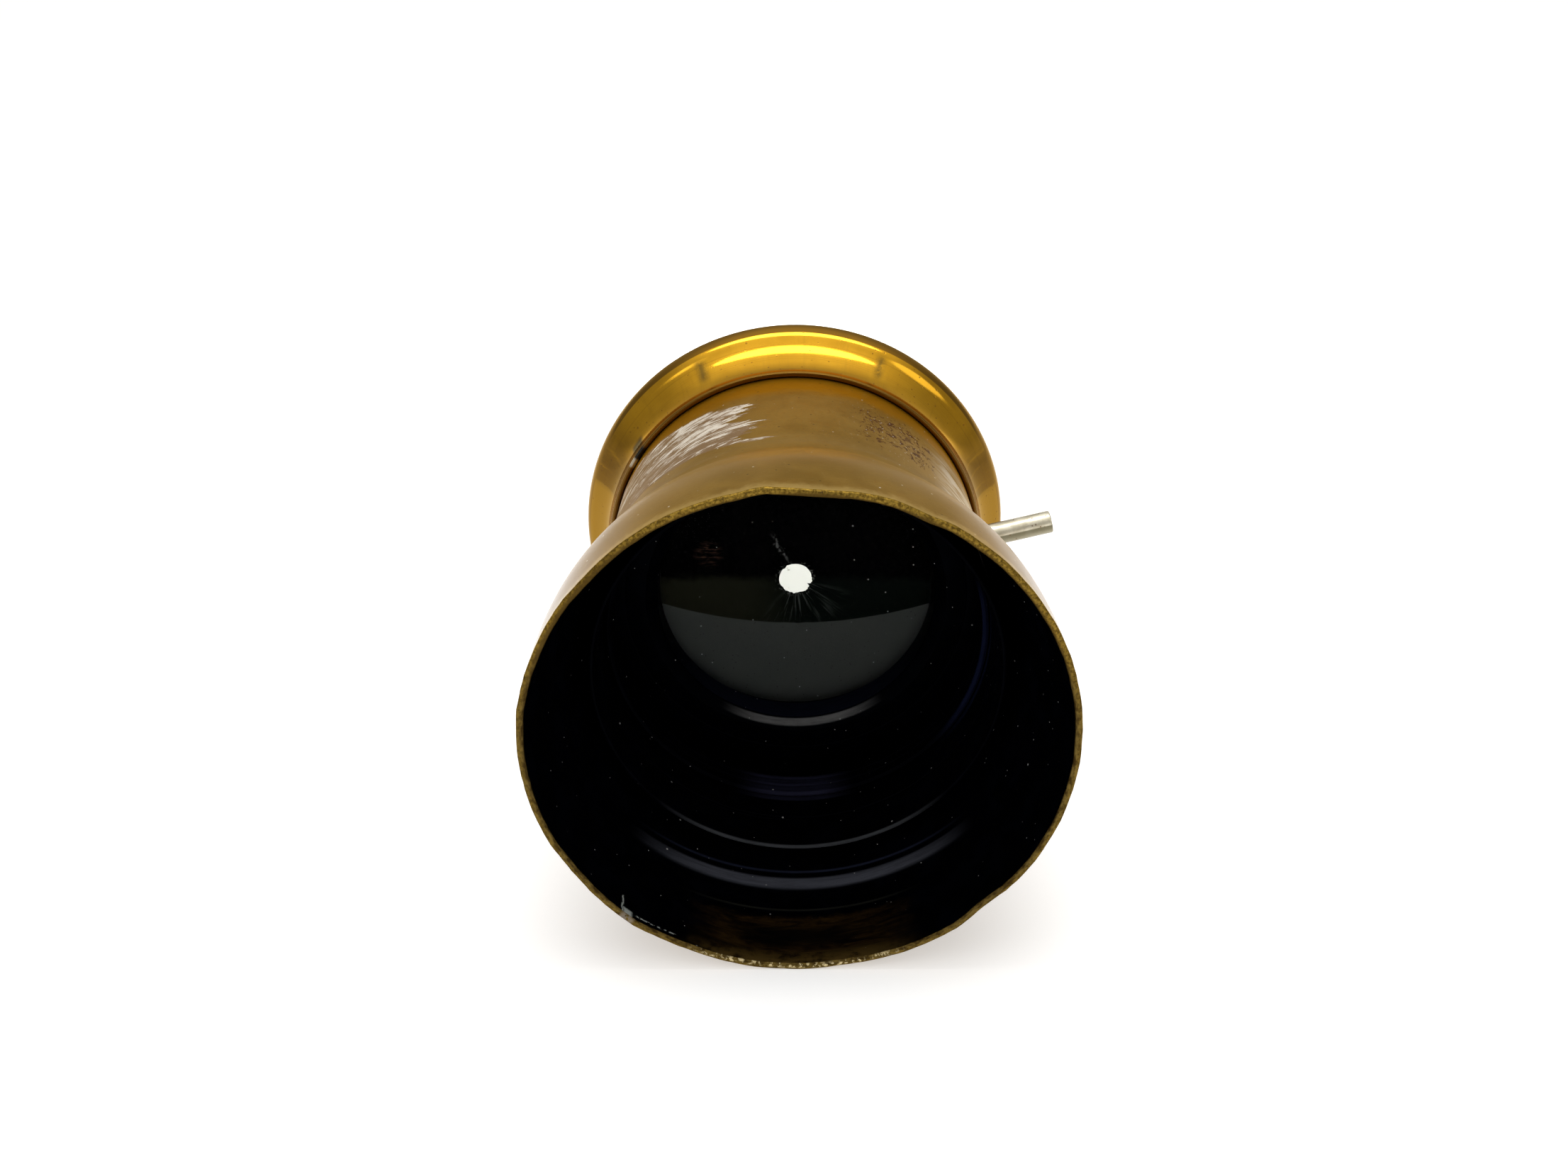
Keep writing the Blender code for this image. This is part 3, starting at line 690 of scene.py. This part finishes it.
def clear_glass():
    """Thin clear glass that passes light straight on, with a faint sheen, dust and hairlines."""
    f = Finish("clear_glass")
    motes = f.specks(0.55, 0.12, 0.14, offset=27)
    hair = f.streaks(f.x * 0.25, f.s * 0.2, f.z * 2.6, detail=5, rough=0.75, warp=1.2)
    marks = f.either(motes, f.between(hair, 0.7, 0.74) * 0.5)
    clear = f.node("BsdfTransparent", {0: (0.985, 0.99, 0.987)})
    sheen = f.node("BsdfAnisotropic", {"Roughness": 0.05})
    glance = f.node("Fresnel", {"IOR": 1.1})
    share = f.math("ADD", glance * 0.06, marks * 0.04, clamp=True)
    return f.finish(f.node("MixShader", {0: share, 1: clear, 2: sheen}))


def frosted_glass():
    """Ground glass: it scatters what it lets through, and is finely pitted."""
    f = Finish("frosted_glass")
    grind = f.noise(6)
    ground = f.bumped(grind, 0.03)
    smear = f.between(f.noise(0.2, detail=4, offset=8), 0.3, 0.7)
    milk = f.mix(smear, (0.97, 0.965, 0.93), (0.99, 0.985, 0.955))
    face = f.mix(grind, (0.74, 0.75, 0.73), (0.86, 0.87, 0.85))
    through = f.node("BsdfTranslucent", {0: milk, "Normal": ground})
    clear = f.node("BsdfRefraction", {0: (0.98, 0.98, 0.95), "Roughness": 0.55, "IOR": 1.15})
    gloss = f.node("BsdfPrincipled", {"Base Color": face, "Roughness": 0.55, "Normal": ground})
    passed = f.node("MixShader", {0: 0.12, 1: through, 2: clear})
    return f.finish(f.node("MixShader", {0: 0.26, 1: passed, 2: gloss}))


def coloured_glass(name, color):
    """A tumbled chip of coloured glass with streaks and small seeds in it."""
    f = Finish("glass_" + name)
    streak = f.noise(0.5, detail=4, warp=1.5)
    deep = tuple(c * 0.55 for c in color)
    f.color = f.mix(f.between(streak, 0.35, 0.65), deep, color)
    f.paint((0.85, 0.87, 0.88), f.specks(1.1, 0.14, 0.25), 0.5)
    ground = f.between(f.noise(1.2, detail=4, offset=4), 0.5, 0.72)
    return f.shade(
        Roughness=ground * 0.22 + 0.06, Transmission_Weight=0.85, IOR=1.5, Normal=f.bumped(ground, 0.03))


# the painted highlights of hood_black, standing for the black paint's sheen: stations, angles, tone and
# strength
BELOW = (-124, -53, 13)
BELL_SHEEN = (
    ((16.75, 18.8, 0.35), BELOW, (0.08, 0.084, 0.104), 0.45),
    ((20, 20.4, 0.15), BELOW, (0.016, 0.019, 0.036), 0.5),
    ((12.25, 12.6, 0.15), (-113, -66, 9), (0.02, 0.02, 0.016), 0.22),
)
LINER_SHEEN = (
    ((20, 20.62, 0.12), BELOW, (0.058, 0.062, 0.068), 0.4),
    ((27.5, 27.9, 0.15), (-116, -92, 5), (0.01, 0.011, 0.022), 0.3),
    ((33.2, 38.6, 0.15), (-104.5, -77, 7), (0.026, 0.026, 0.052), 0.35),
    ((33.2, 34.4, 0.3), (-32, 14, 10), (0.008, 0.011, 0.034), 0.4),
)
CELL_SHEEN = (
    ((48.55, 54, 0.2), (-135, -45, 30), (0.012, 0.015, 0.034), 0.6),
    ((47.45, 48.2, 0.12), (-112, -62, 12), (0.2, 0.2, 0.2), 0.5),
)

BROWN = brown_lacquer()
RIM = rim_brass()
GOLD = golden_lacquer()
BRASS = turned_brass()
STEEL = bare_steel()
HOOD = hood_black("hood_black", BELL_SHEEN, worn_mouth=True)
LINER = hood_black("liner_black", LINER_SHEEN)
CELL = hood_black("cell_black", CELL_SHEEN)
PAPER = black_paper()
CARD = black_card()
CORK = cork_sheet()
MIRROR = silvered_mirror()
CLEAR = clear_glass()
FROSTED = frosted_glass()
GLASS_COLOURS = {
    "ruby": (0.65, 0.02, 0.03), "amber": (0.85, 0.38, 0.03), "green": (0.03, 0.42, 0.1),
    "blue": (0.02, 0.12, 0.6), "violet": (0.3, 0.04, 0.5), "rose": (0.8, 0.18, 0.3),
    "aqua": (0.05, 0.55, 0.6), "citrine": (0.85, 0.75, 0.08), "indigo": (0.05, 0.04, 0.35),
}


# ---------------------------------------------------------------- the barrel

# angle, half width in degrees, and depth in millimetres of each dent in the bell's rim
DENTS = (
    (97, 3.2, 0.3), (86, 6, -0.34), (65, 5, -0.24), (137, 13, -0.48), (157, 9, -0.26),
    (213, 7, -0.22), (231, 5, 0.18), (246, 7, -0.2), (279, 7, -0.2), (302, 6, 0.12),
    (316, 6, -0.48),
)
OUTSIDE, EDGE, INSIDE = range(3)       # the three finishes of the tube
TUBE_FINISHES = (BROWN, RIM, HOOD)
EDGE_DEPTH = 0.42                      # how far back from the mouth the bare edge goes


def dented(radius, station, degrees):
    """The bell's rim is knocked out of round, and the dents fade away from the mouth."""
    near = math.exp(-((station / 9) ** 2))
    push = sum(depth * bump_at(degrees, angle, width) for angle, width, depth in DENTS)
    spot = Vector((math.cos(math.radians(degrees)), math.sin(math.radians(degrees)), 0))
    lip = math.exp(-((station / 1.2) ** 2))
    small = 0.1 * noise.noise(spot * 9) + 0.07 * noise.noise(spot * 31)
    along = 0.16 * noise.noise(spot * 5 + Vector((0, 0, 7))) + 0.09 * noise.noise(spot * 24)
    wall = 0.05 * noise.noise(spot * 2.5 + Vector((0, 0, station * 0.05)))
    return radius + push * near + small * lip + wall, station + abs(along) * lip


def inner_radius(station):
    """Inside the bell: the lip is a little thicker, and two low ridges stand on the wall."""
    lip = 0.28 * math.exp(-((station / 1.5) ** 2))
    rise = 1 + math.exp(-(station - 16.6) / 0.12)
    fall = 1 + math.exp((station - 18.9) / 0.12)
    line = 0.1 * math.exp(-(((station - 12.45) / 0.22) ** 2))
    return bell_radius(station) - WALL - lip - 0.3 / rise / fall - line


def tube_finish(a, b):
    """Which of the tube's finishes a row of its outline has, from its two ends."""
    middle = (a[1] + b[1]) / 2
    if middle < EDGE_DEPTH:
        return EDGE
    wall_middle = (bell_radius(middle) if middle < BELL_LENGTH else TUBE_R) - WALL / 2
    return OUTSIDE if (a[0] + b[0]) / 2 > wall_middle else INSIDE


def make_body_tube():
    """The tube and the bell as one dented shell, with the pin's slot cut through it."""
    outer = [(bell_radius(s), s) for s in (BELL_LENGTH * i / 52 for i in range(53))]
    inner = [(inner_radius(s), s) for s in (BELL_LENGTH * i / 104 for i in range(105))]
    outer[0], inner[0] = (MOUTH_R, 0.4), (MOUTH_R - WALL - 0.26, 0.36)
    outer += [(TUBE_R, s) for s in (40, 44, 48, 51.5, 60.5, 64, 68, 73, 78, 83.6)]
    inner += [(BORE, s) for s in (44, 51.5, 60.5, 68, 78, 83.6)]
    lip = [(MOUTH_R - 0.1, 0.13), (MOUTH_R - 0.34, 0.02), (MOUTH_R - 0.74, 0.02), (MOUTH_R - 0.98, 0.12)]
    outline = [(TUBE_R - 0.12, TUBE_END), *reversed(outer), *lip, *inner, (BORE + 0.12, TUBE_END)]
    shell = placed("tube_shell", lathe_shape(outline, ROUND, dented, tube_finish), TUBE_FINISHES)
    shape = carved(shell, slot_cutter())
    ease_slot_edge(shape)
    return finished(
        "tube_body", shape, TUBE_FINISHES, "barrel", ["body_tube"], sharp=50)


def slot_cutter():
    """A stadium-shaped bar, swept round the axis, that cuts the pin's slot."""
    half = PIN_R + SLOT_CLEARANCE
    reach = math.degrees(half / TUBE_R)
    top, low = PIN_ANGLE, PIN_ANGLE - PIN_TRAVEL
    bends, steps = 24, 40
    outline = []
    for end, other, side in ((top, low, 1), (low, top, -1)):
        for k in range(bends + 1):
            turn = math.pi * k / bends
            outline.append((
                end + side * reach * math.sin(turn), PIN_STATION + side * half * math.cos(turn)))
        outline += [(end + (other - end) * k / steps, PIN_STATION - side * half) for k in range(1, steps)]
    shape = bmesh.new()
    near = [shape.verts.new(at(CUT_FROM, degrees, station)) for degrees, station in outline]
    far = [shape.verts.new(at(CUT_TO, degrees, station)) for degrees, station in outline]
    held = [round(min(max(degrees, low), top), 4) for degrees, _ in outline]
    keys = sorted(set(held))
    inner = {key: shape.verts.new(at(CUT_FROM, key, PIN_STATION)) for key in keys}
    outer = {key: shape.verts.new(at(CUT_TO, key, PIN_STATION)) for key in keys}
    for i in range(len(outline)):
        k = (i + 1) % len(outline)
        shape.faces.new([near[i], near[k], far[k], far[i]])
        for ring, spine in ((near, inner), (far, outer)):
            shape.faces.new(distinct([ring[i], ring[k], spine[held[k]], spine[held[i]]]))
    for face in shape.faces:
        face.material_index = EDGE
    return placed("slot_cutter", shape, TUBE_FINISHES)


def ease_slot_edge(shape):
    """Breaks the sharp corner round the slot, as a file would."""
    edges = []
    for edge in shape.edges:
        station = ((edge.verts[0].co + edge.verts[1].co) / 2 - AXIS).y / MM
        finishes = sorted(face.material_index for face in edge.link_faces)
        if abs(station - PIN_STATION) < 3 and finishes in ([OUTSIDE, EDGE], [EDGE, INSIDE]):
            edges.append(edge)
    bmesh.ops.bevel(
        shape, geom=edges, offset=0.1 * MM, segments=2, affect="EDGES", profile=0.5, clamp_overlap=True)


make_body_tube()

lathe("liner_sleeve", [
    (32.3, 46.7), (32.3, 20.3), (31.7, 20.3), (31.7, 27.6), (31.9, 27.8), (31.9, 28.4), (31.7, 28.6),
    (31.7, 46.7),
], LINER, "barrel", ["hood_liner"], edge=0.22)
lathe("baffle", [
    (31.4, 39.6), (31.4, 34), (30.9, 33.6), (30.4, 34), (30.4, 35.4), (30.6, 35.6), (30.6, 36),
    (30.4, 36.2), (30.4, 37.4), (30.6, 37.6), (30.6, 38), (30.4, 38.2), (30.4, 39.2), (30.8, 39.6),
], LINER, "barrel", ["baffle_ring"], edge=0.14)
lathe("thrust_ring", [
    (32.3, 64.3), (32.3, 62.3), (28.4, 62.3), (28.4, 64.3),
], LINER, "barrel", ["cell_thrust_ring"], facets=ROUND_INNER)


def make_flange():
    """The polished collar, with its cove, bead and lip turned as smooth curves."""
    place = Vector((34.46, 68.28))
    front = [tuple(place)]
    # length of each curve, its lean from the axis at the start and the end, and its steps
    curves = ((8.9, 1, 51, 30), (1.05, 51, 38, 4), (2.6, 38, 4, 12))
    for length, start, end, steps in curves:
        for i in range(steps):
            lean = math.radians(start + (end - start) * (i + 0.5) / steps)
            place = place + Vector((math.sin(lean), math.cos(lean))) * (length / steps)
            front.append(tuple(place))
    top, end_of_lip = front[-1]
    front.append((top, end_of_lip + 0.12))
    back = [
        (top - 0.15, 79.55), (top - 0.5, 79.88), (top - 0.95, 80), (36.75, 80), (36.5, 80.12),
        (36.4, 80.4), (36.4, 83.2), (36, 83.6), (33.75, 83.6), (33.46, 83.3), (33.46, 68.55),
    ]
    collar = [(33.5, 68.32), (33.64, 68.12), (34, 68), (34.3, 68.05)]
    shape = lathe_shape([*collar, *front, *back])
    return finished("collar_flange", shape, [GOLD], "barrel", ["flange"])


make_flange()


def make_screw(index):
    """A slotted grub screw in the flange's hub."""
    low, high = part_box(f"flange_screw_{index}")
    offset = (low + high) / 2 - AXIS
    foot, out, side = spoke(math.degrees(math.atan2(offset.z, offset.x)), offset.y / MM)
    along = Vector((0, 1, 0))
    outline = ((0.95, 33.75), (1, 33.85), (1, 36.05), (0.85, 36.25))
    slot_width, slot_depth, head = 0.32, 1, 36.25
    facets = 48

    def point(x, y, height):
        return foot + (side * x + along * y + out * height) * MM

    shape = bmesh.new()
    rings = []
    for radius, height in outline:
        turns = [2 * math.pi * j / facets for j in range(facets)]
        rings.append([
            shape.verts.new(point(radius * math.cos(turn), radius * math.sin(turn), height))
            for turn in turns])
    bottom = shape.verts.new(point(0, 0, outline[0][1]))
    for j in range(facets):
        k = (j + 1) % facets
        shape.faces.new([bottom, rings[0][k], rings[0][j]])
        for a, b in zip(rings, rings[1:]):
            shape.faces.new([a[j], a[k], b[k], b[j]])
    shape.faces.new(rings[-1])
    knife = bmesh.new()
    bmesh.ops.create_cube(knife, size=1)
    for vert in knife.verts:
        vert.co = point(vert.co.x * 3, vert.co.y * slot_width, head + vert.co.z * slot_depth)
    shape = carved(placed("screw", shape), placed("knife", knife))
    finished(
        f"grub_screw_{index}", shape, [STEEL], "barrel", [f"flange_screw_{index}"], sharp=30)


for number in (1, 2, 3):
    make_screw(number)

lathe("bearing_ring", [
    (33.4, 86.3), (33.4, 84.3), (32.3, 84.3), (32.3, 75), (31.3, 75), (31.3, 82.5),
    (27.5, 82.5), (27.5, 75), (26.5, 75), (26.5, 86.3), (27.4, 86.3), (27.6, 86),
    (28.1, 86), (28.3, 86.3), (31.2, 86.3), (31.4, 86), (31.9, 86), (32.1, 86.3),
], BRASS, "barrel", ["rear_bearing"], edge=0.22)


# ---------------------------------------------------------------- the turning carriage

# angle and half width in degrees, height and length in millimetres of each fold round the hole
FOLDS = (
    (268, 3.2, 0.26, 8.5), (256, 2.6, -0.2, 6), (281, 3, -0.16, 7.5), (243, 3.6, 0.15, 5),
    (296, 5, 0.13, 6), (318, 6, 0.2, 9), (334, 5.5, -0.16, 9.5), (347, 5, 0.17, 9),
    (126, 5, 0.2, 7), (140, 5.5, -0.15, 6), (110, 6, -0.12, 4.5), (60, 7, 0.1, 3.5),
    (20, 7, -0.1, 4), (176, 7, 0.1, 4), (214, 6, -0.14, 5),
)
TEARS = ((0.13, 3.1), (0.1, 11), (0.07, 27))     # height and fineness of the torn edge
DISC_FRONT, DISC_BACK = 56.16, 56.4


def crease(degrees, radius):
    """Height of the folds that run out from the pierced hole, in millimetres."""
    height = 0
    for angle, width, tall, length in FOLDS:
        bend = 6 * math.sin(radius * 0.5 + angle)
        out = max(radius - EYEHOLE_R, 0) / length
        height += tall * bump_at(degrees, angle + bend, width * (1 + 0.4 * out)) * math.exp(-out * out)
    return height


def hole_edge(degrees, spot):
    """How far the torn edge of the hole stands out from its circle, in millimetres."""
    ragged = sum(tall * noise.noise(spot * pitch) for tall, pitch in TEARS)
    ragged -= 0.55 * bump_at(degrees, 334, 2.6) + 0.16 * bump_at(degrees, 321, 2)
    return ragged + (0.1 * bump_at(degrees, 200, 14) - 0.08 * bump_at(degrees, 285, 12))


def make_disc():
    """Black paper with a ragged, hand-pierced hole and creases round it."""
    facets = 360
    radii = [EYEHOLE_R + 22.6 * (i / 46) ** 1.35 for i in range(47)]
    shape = bmesh.new()
    fronts, backs = [], []
    for j in range(facets):
        degrees = 360 * j / facets
        spot = Vector((math.cos(math.radians(degrees)), math.sin(math.radians(degrees)), 0))
        ragged = hole_edge(degrees, spot)
        front, back = [], []
        for radius in radii:
            rough = 0.05 * noise.noise(Vector((spot.x * radius * 0.35, spot.y * radius * 0.35, 3)))
            held_flat = 1 - max(0, (radius - 21) / 4.6)
            lift = max(min(crease(degrees, radius) + rough, 0.24), -0.22) * held_flat
            place = radius + ragged * math.exp(-(radius - EYEHOLE_R) / 0.8)
            front.append(shape.verts.new(at(place, degrees, DISC_FRONT - lift)))
            back.append(shape.verts.new(at(place, degrees, DISC_BACK - lift * 0.8)))
        fronts.append(front)
        backs.append(back)
    for j in range(facets):
        k = (j + 1) % facets
        for i in range(len(radii) - 1):
            shape.faces.new([fronts[j][i], fronts[k][i], fronts[k][i + 1], fronts[j][i + 1]])
            shape.faces.new([backs[j][i], backs[j][i + 1], backs[k][i + 1], backs[k][i]])
        shape.faces.new([fronts[j][0], backs[j][0], backs[k][0], fronts[k][0]])
        shape.faces.new([fronts[j][-1], fronts[k][-1], backs[k][-1], backs[j][-1]])
    return finished(
        "pierced_disc", shape, [PAPER], "carriage", ["peephole_disc"], sharp=60)


def make_pin():
    """The steel pin, turned about its own axis, with a faced end and a slim threaded foot."""
    outline = [
        (0, PIN_TIP), (0.5, PIN_TIP), (0.7, 45.97), (1.62, 45.98), (1.8, 45.94), (1.9, 45.84),
        (PIN_R, 45.66)]
    outline += [(PIN_R + 0.012 * math.sin(h * 2.1), h) for h in (44, 42, 40, 38, 36, 33)]
    outline += [(PIN_R, 28.9), (1.85, 28.6), (1.3, 28.5)]
    for i in range(6):
        outline += [(1.3, 28.3 - 0.36 * i), (1.12, 28.12 - 0.36 * i)]
    outline += [(1.25, 26.2), (1.1, 26.1), (0, 26.1)]
    facets = 64
    foot, out, side = spoke(PIN_ANGLE, PIN_STATION)
    along = Vector((0, 1, 0))
    shape = bmesh.new()
    rings = []
    for radius, height in outline:
        if radius == 0:
            rings.append([shape.verts.new(foot + out * height * MM)] * facets)
            continue
        ring = []
        for j in range(facets):
            turn = 2 * math.pi * j / facets
            across = side * math.cos(turn) + along * math.sin(turn)
            ring.append(shape.verts.new(foot + (across * radius + out * height) * MM))
        rings.append(ring)
    for a, b in zip(rings, rings[1:]):
        band(shape, a, b)
    return finished("pin_lever", shape, [STEEL], "carriage", ["turning_pin"])


# the turned eyepiece cell: a chamfered mouth and a step for the glass
lathe("cell_turned", [
    (32.3, 62), (32.3, 47), (29.6, 47), (29.45, 47.15), (29.3, 47), (26, 47), (24.2, 48.2),
    (24, 48.6), (24, 53.3), (25.8, 53.3), (25.8, 66), (27, 66), (27, 49), (31.5, 49),
    (31.5, 62),
], CELL, "carriage", ["eyepiece_cell"], edge=0.12)
make_disc()
make_pin()
lathe("glass_front", disc_outline(53.6, 55.6, 25.5), CLEAR, "carriage",
      ["eyepiece_glass"], edge=0.15, closed=False)


# ---------------------------------------------------------------- the object head

lathe("drum_tube", [
    (26.2, 121), (26.2, 96.6), (26.08, 96.4), (26.08, 96), (26.2, 95.8), (26.2, 71),
    (25.5, 71), (25.5, 121),
], BRASS, "object_head", ["object_drum"], edge=0.15)


def make_grip():
    """The ribbed ring that fingers turn the drum by, with eased ends."""
    ribs, facets_per_rib = 48, 8
    facets = ribs * facets_per_rib
    # stations along the ribs, and how far each row is eased inward
    rows = (
        (98, 0.4), (98.25, 0.1), (98.8, 0), (99.1, 0),
        (106.9, 0), (107.2, 0), (107.75, 0.1), (108, 0.4))
    shape = bmesh.new()
    rings = []
    for station, ease in rows:
        ring = []
        for j in range(facets):
            wave = math.cos(2 * math.pi * (j + facets_per_rib / 2) / facets_per_rib)
            radius = 27.95 + 0.24 * math.copysign(abs(wave) ** 0.7, wave) - ease
            ring.append(shape.verts.new(at(radius, 360 * j / facets, station)))
        rings.append(ring)
    for station in (107.85, 98.15):
        rings.append([shape.verts.new(at(26.5, 360 * j / facets, station)) for j in range(facets)])
    for a, b in zip(rings, [*rings[1:], rings[0]]):
        band(shape, a, b)
    return finished("grip", shape, [BRASS], "object_head", ["grip_ring"], sharp=45)


make_grip()
lathe("bezel", [
    (26.4, 123.4), (27, 122.8), (27, 121.3), (25.2, 121.3), (25.2, 119.4), (22.6, 119.4),
    (22.6, 122.4), (22.9, 122.9), (23.5, 123.4), (24.3, 123.4), (24.5, 123.22), (24.7, 123.4),
], BRASS, "object_head", ["end_bezel"], edge=0.18)
lathe("glass_frosted", disc_outline(117.7, 119.1, 25.2), FROSTED, "object_head",
      ["frosted_glass"], facets=ROUND_INNER, edge=0.15, closed=False)

# The pieces that keep their CAD shape get a finish by the name of their node.
FINISHES = {
    "disc_clamp_ring": LINER, "mirror_collar": LINER, "mirror_housing": CARD, "front_mask": CARD,
    "rear_mask": CARD, "guide_ring": CORK, "drum_keeper_ring": BRASS, "cell_seat_ring": BRASS,
    "cell_spacer": BRASS, "inner_glass": CLEAR,
}
for side_name in ("lower", "right", "left"):
    FINISHES["mirror_" + side_name] = MIRROR
    FINISHES["packing_" + side_name] = CORK
for colour, rgb in GLASS_COLOURS.items():
    FINISHES["chip_" + colour] = coloured_glass(colour, rgb)
for node_name, finish in FINISHES.items():
    for material_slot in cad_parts[node_name].material_slots:
        material_slot.material = finish


# ---------------------------------------------------------------- the studio

FLOOR_HALF = 8           # metres

# the camera, fitted to the photograph's circles: its place from the middle of the mouth in mouth
# radii, and its tilt down and turn in degrees
CAMERA_PLACE = (-0.0593, -4.0459, 2.625)
CAMERA_DOWN = 26.11
CAMERA_TURN = -0.08

# how bright the room is from straight down, 0, by the horizon, 0.5, to straight up, 1
ROOM_STOPS = (
    (0, 1), (0.53, 1), (0.58, 0.45), (0.7, 0.38), (0.8, 0.44), (0.885, 0.68), (0.933, 0.86),
    (1, 0.92),
)


def plain_floor():
    """White paper that glows, warmer far away, and glows a little less under the object: a painted shadow.
    """
    f = Finish("floor_white")
    far = f.between(f.s, 900, 3600)
    f.color = f.mix(far, (0.66, 0.657, 0.652), (0.62, 0.6, 0.585))
    # painted shadow: the floor glows less under the object
    painted_shadow_beneath = f.window(f.s, 0, 75, 9) * f.window(f.x, -48, 48, 22)
    mat = f.shade(
        Roughness=0.8, Emission_Color=f.mix(far, (1, 0.995, 0.99), (0.97, 0.93, 0.91)),
        Emission_Strength=f.blend(far, 0.52, 0.58) - painted_shadow_beneath * 0.14, Normal=f.bumped(f.noise(0.8), 0.01))
    mesh = bpy.data.meshes.new("floor")
    corners = ((-1, -1), (1, -1), (1, 1), (-1, 1))
    mesh.from_pydata([(x * FLOOR_HALF, y * FLOOR_HALF, cad_low.z) for x, y in corners], [], [(0, 1, 2, 3)])
    mesh.materials.append(mat)
    obj = linked("floor", mesh)


def soft_light(name, place, aim, width, height, radiance):
    """An oval area light given by how bright its face looks."""
    data = bpy.data.lights.new(name, "AREA")
    data.shape = "ELLIPSE"
    data.size, data.size_y = width, height
    data.energy = radiance * math.pi * (math.pi / 4 * width * height)
    obj = linked(name, data)
    obj.location = place
    obj.rotation_euler = (Vector(aim) - Vector(place)).to_track_quat("-Z", "Y").to_euler()
    return obj


def white_room():
    """White at the horizon, a dimmer wall above it, bright overhead, dim to the left and right."""
    world = bpy.data.worlds.new("room")
    bpy.context.scene.world = world
    world.use_nodes = True
    w = Nodes(world.node_tree)
    direction = w.node("TexCoord", {}, "Generated")
    across, _, up = w.parts("SeparateXYZ", direction)
    height = w.node("Math", {0: up, 1: 0.5, 2: 0.5}, operation="MULTIPLY_ADD")
    wall = w.node("ValToRGB", {0: height})
    elements = wall.socket.node.color_ramp.elements
    elements.remove(elements[1])
    for index, (place, value) in enumerate(ROOM_STOPS):
        element = elements[0] if index == 0 else elements.new(place)
        element.position = place
        element.color = (value, value * 0.99, value * 0.975, 1)
    aside = w.node("Math", {0: across}, operation="ABSOLUTE")
    background = world.node_tree.nodes["Background"]
    w.put(background.inputs["Strength"], w.smooth(aside, 0.5, 0.85, 1.3, 0.85))
    w.put(background.inputs["Color"], wall)


plain_floor()
white_room()
soft_light("overhead", (0, -0.02, 0.62), (0, 0, 0.04), 0.74, 0.16, 5)
behind = soft_light("behind", (0, 0.44, 0.075), (0, 0.06, 0.04), 0.2, 0.115, 24)
behind.visible_camera = False
behind.visible_glossy = False
soft_light("front_left", (-0.55, -0.45, 0.55), (0, 0, 0.05), 0.4, 0.4, 1.6)
soft_light("front_right", (0.6, -0.35, 0.5), (0, 0, 0.05), 0.4, 0.4, 1.2)

camera_data = bpy.data.cameras.new("camera")
camera_data.lens = 31.12
camera_data.sensor_width = 36
camera_data.clip_start = 0.01
camera_data.clip_end = 60
camera = linked("camera", camera_data)
camera.location = AXIS + Vector(CAMERA_PLACE) * MOUTH_R * MM
camera.rotation_euler = (math.radians(90 - CAMERA_DOWN), 0, math.radians(CAMERA_TURN))
bpy.context.scene.camera = camera
bpy.context.scene.view_settings.view_transform = "Standard"
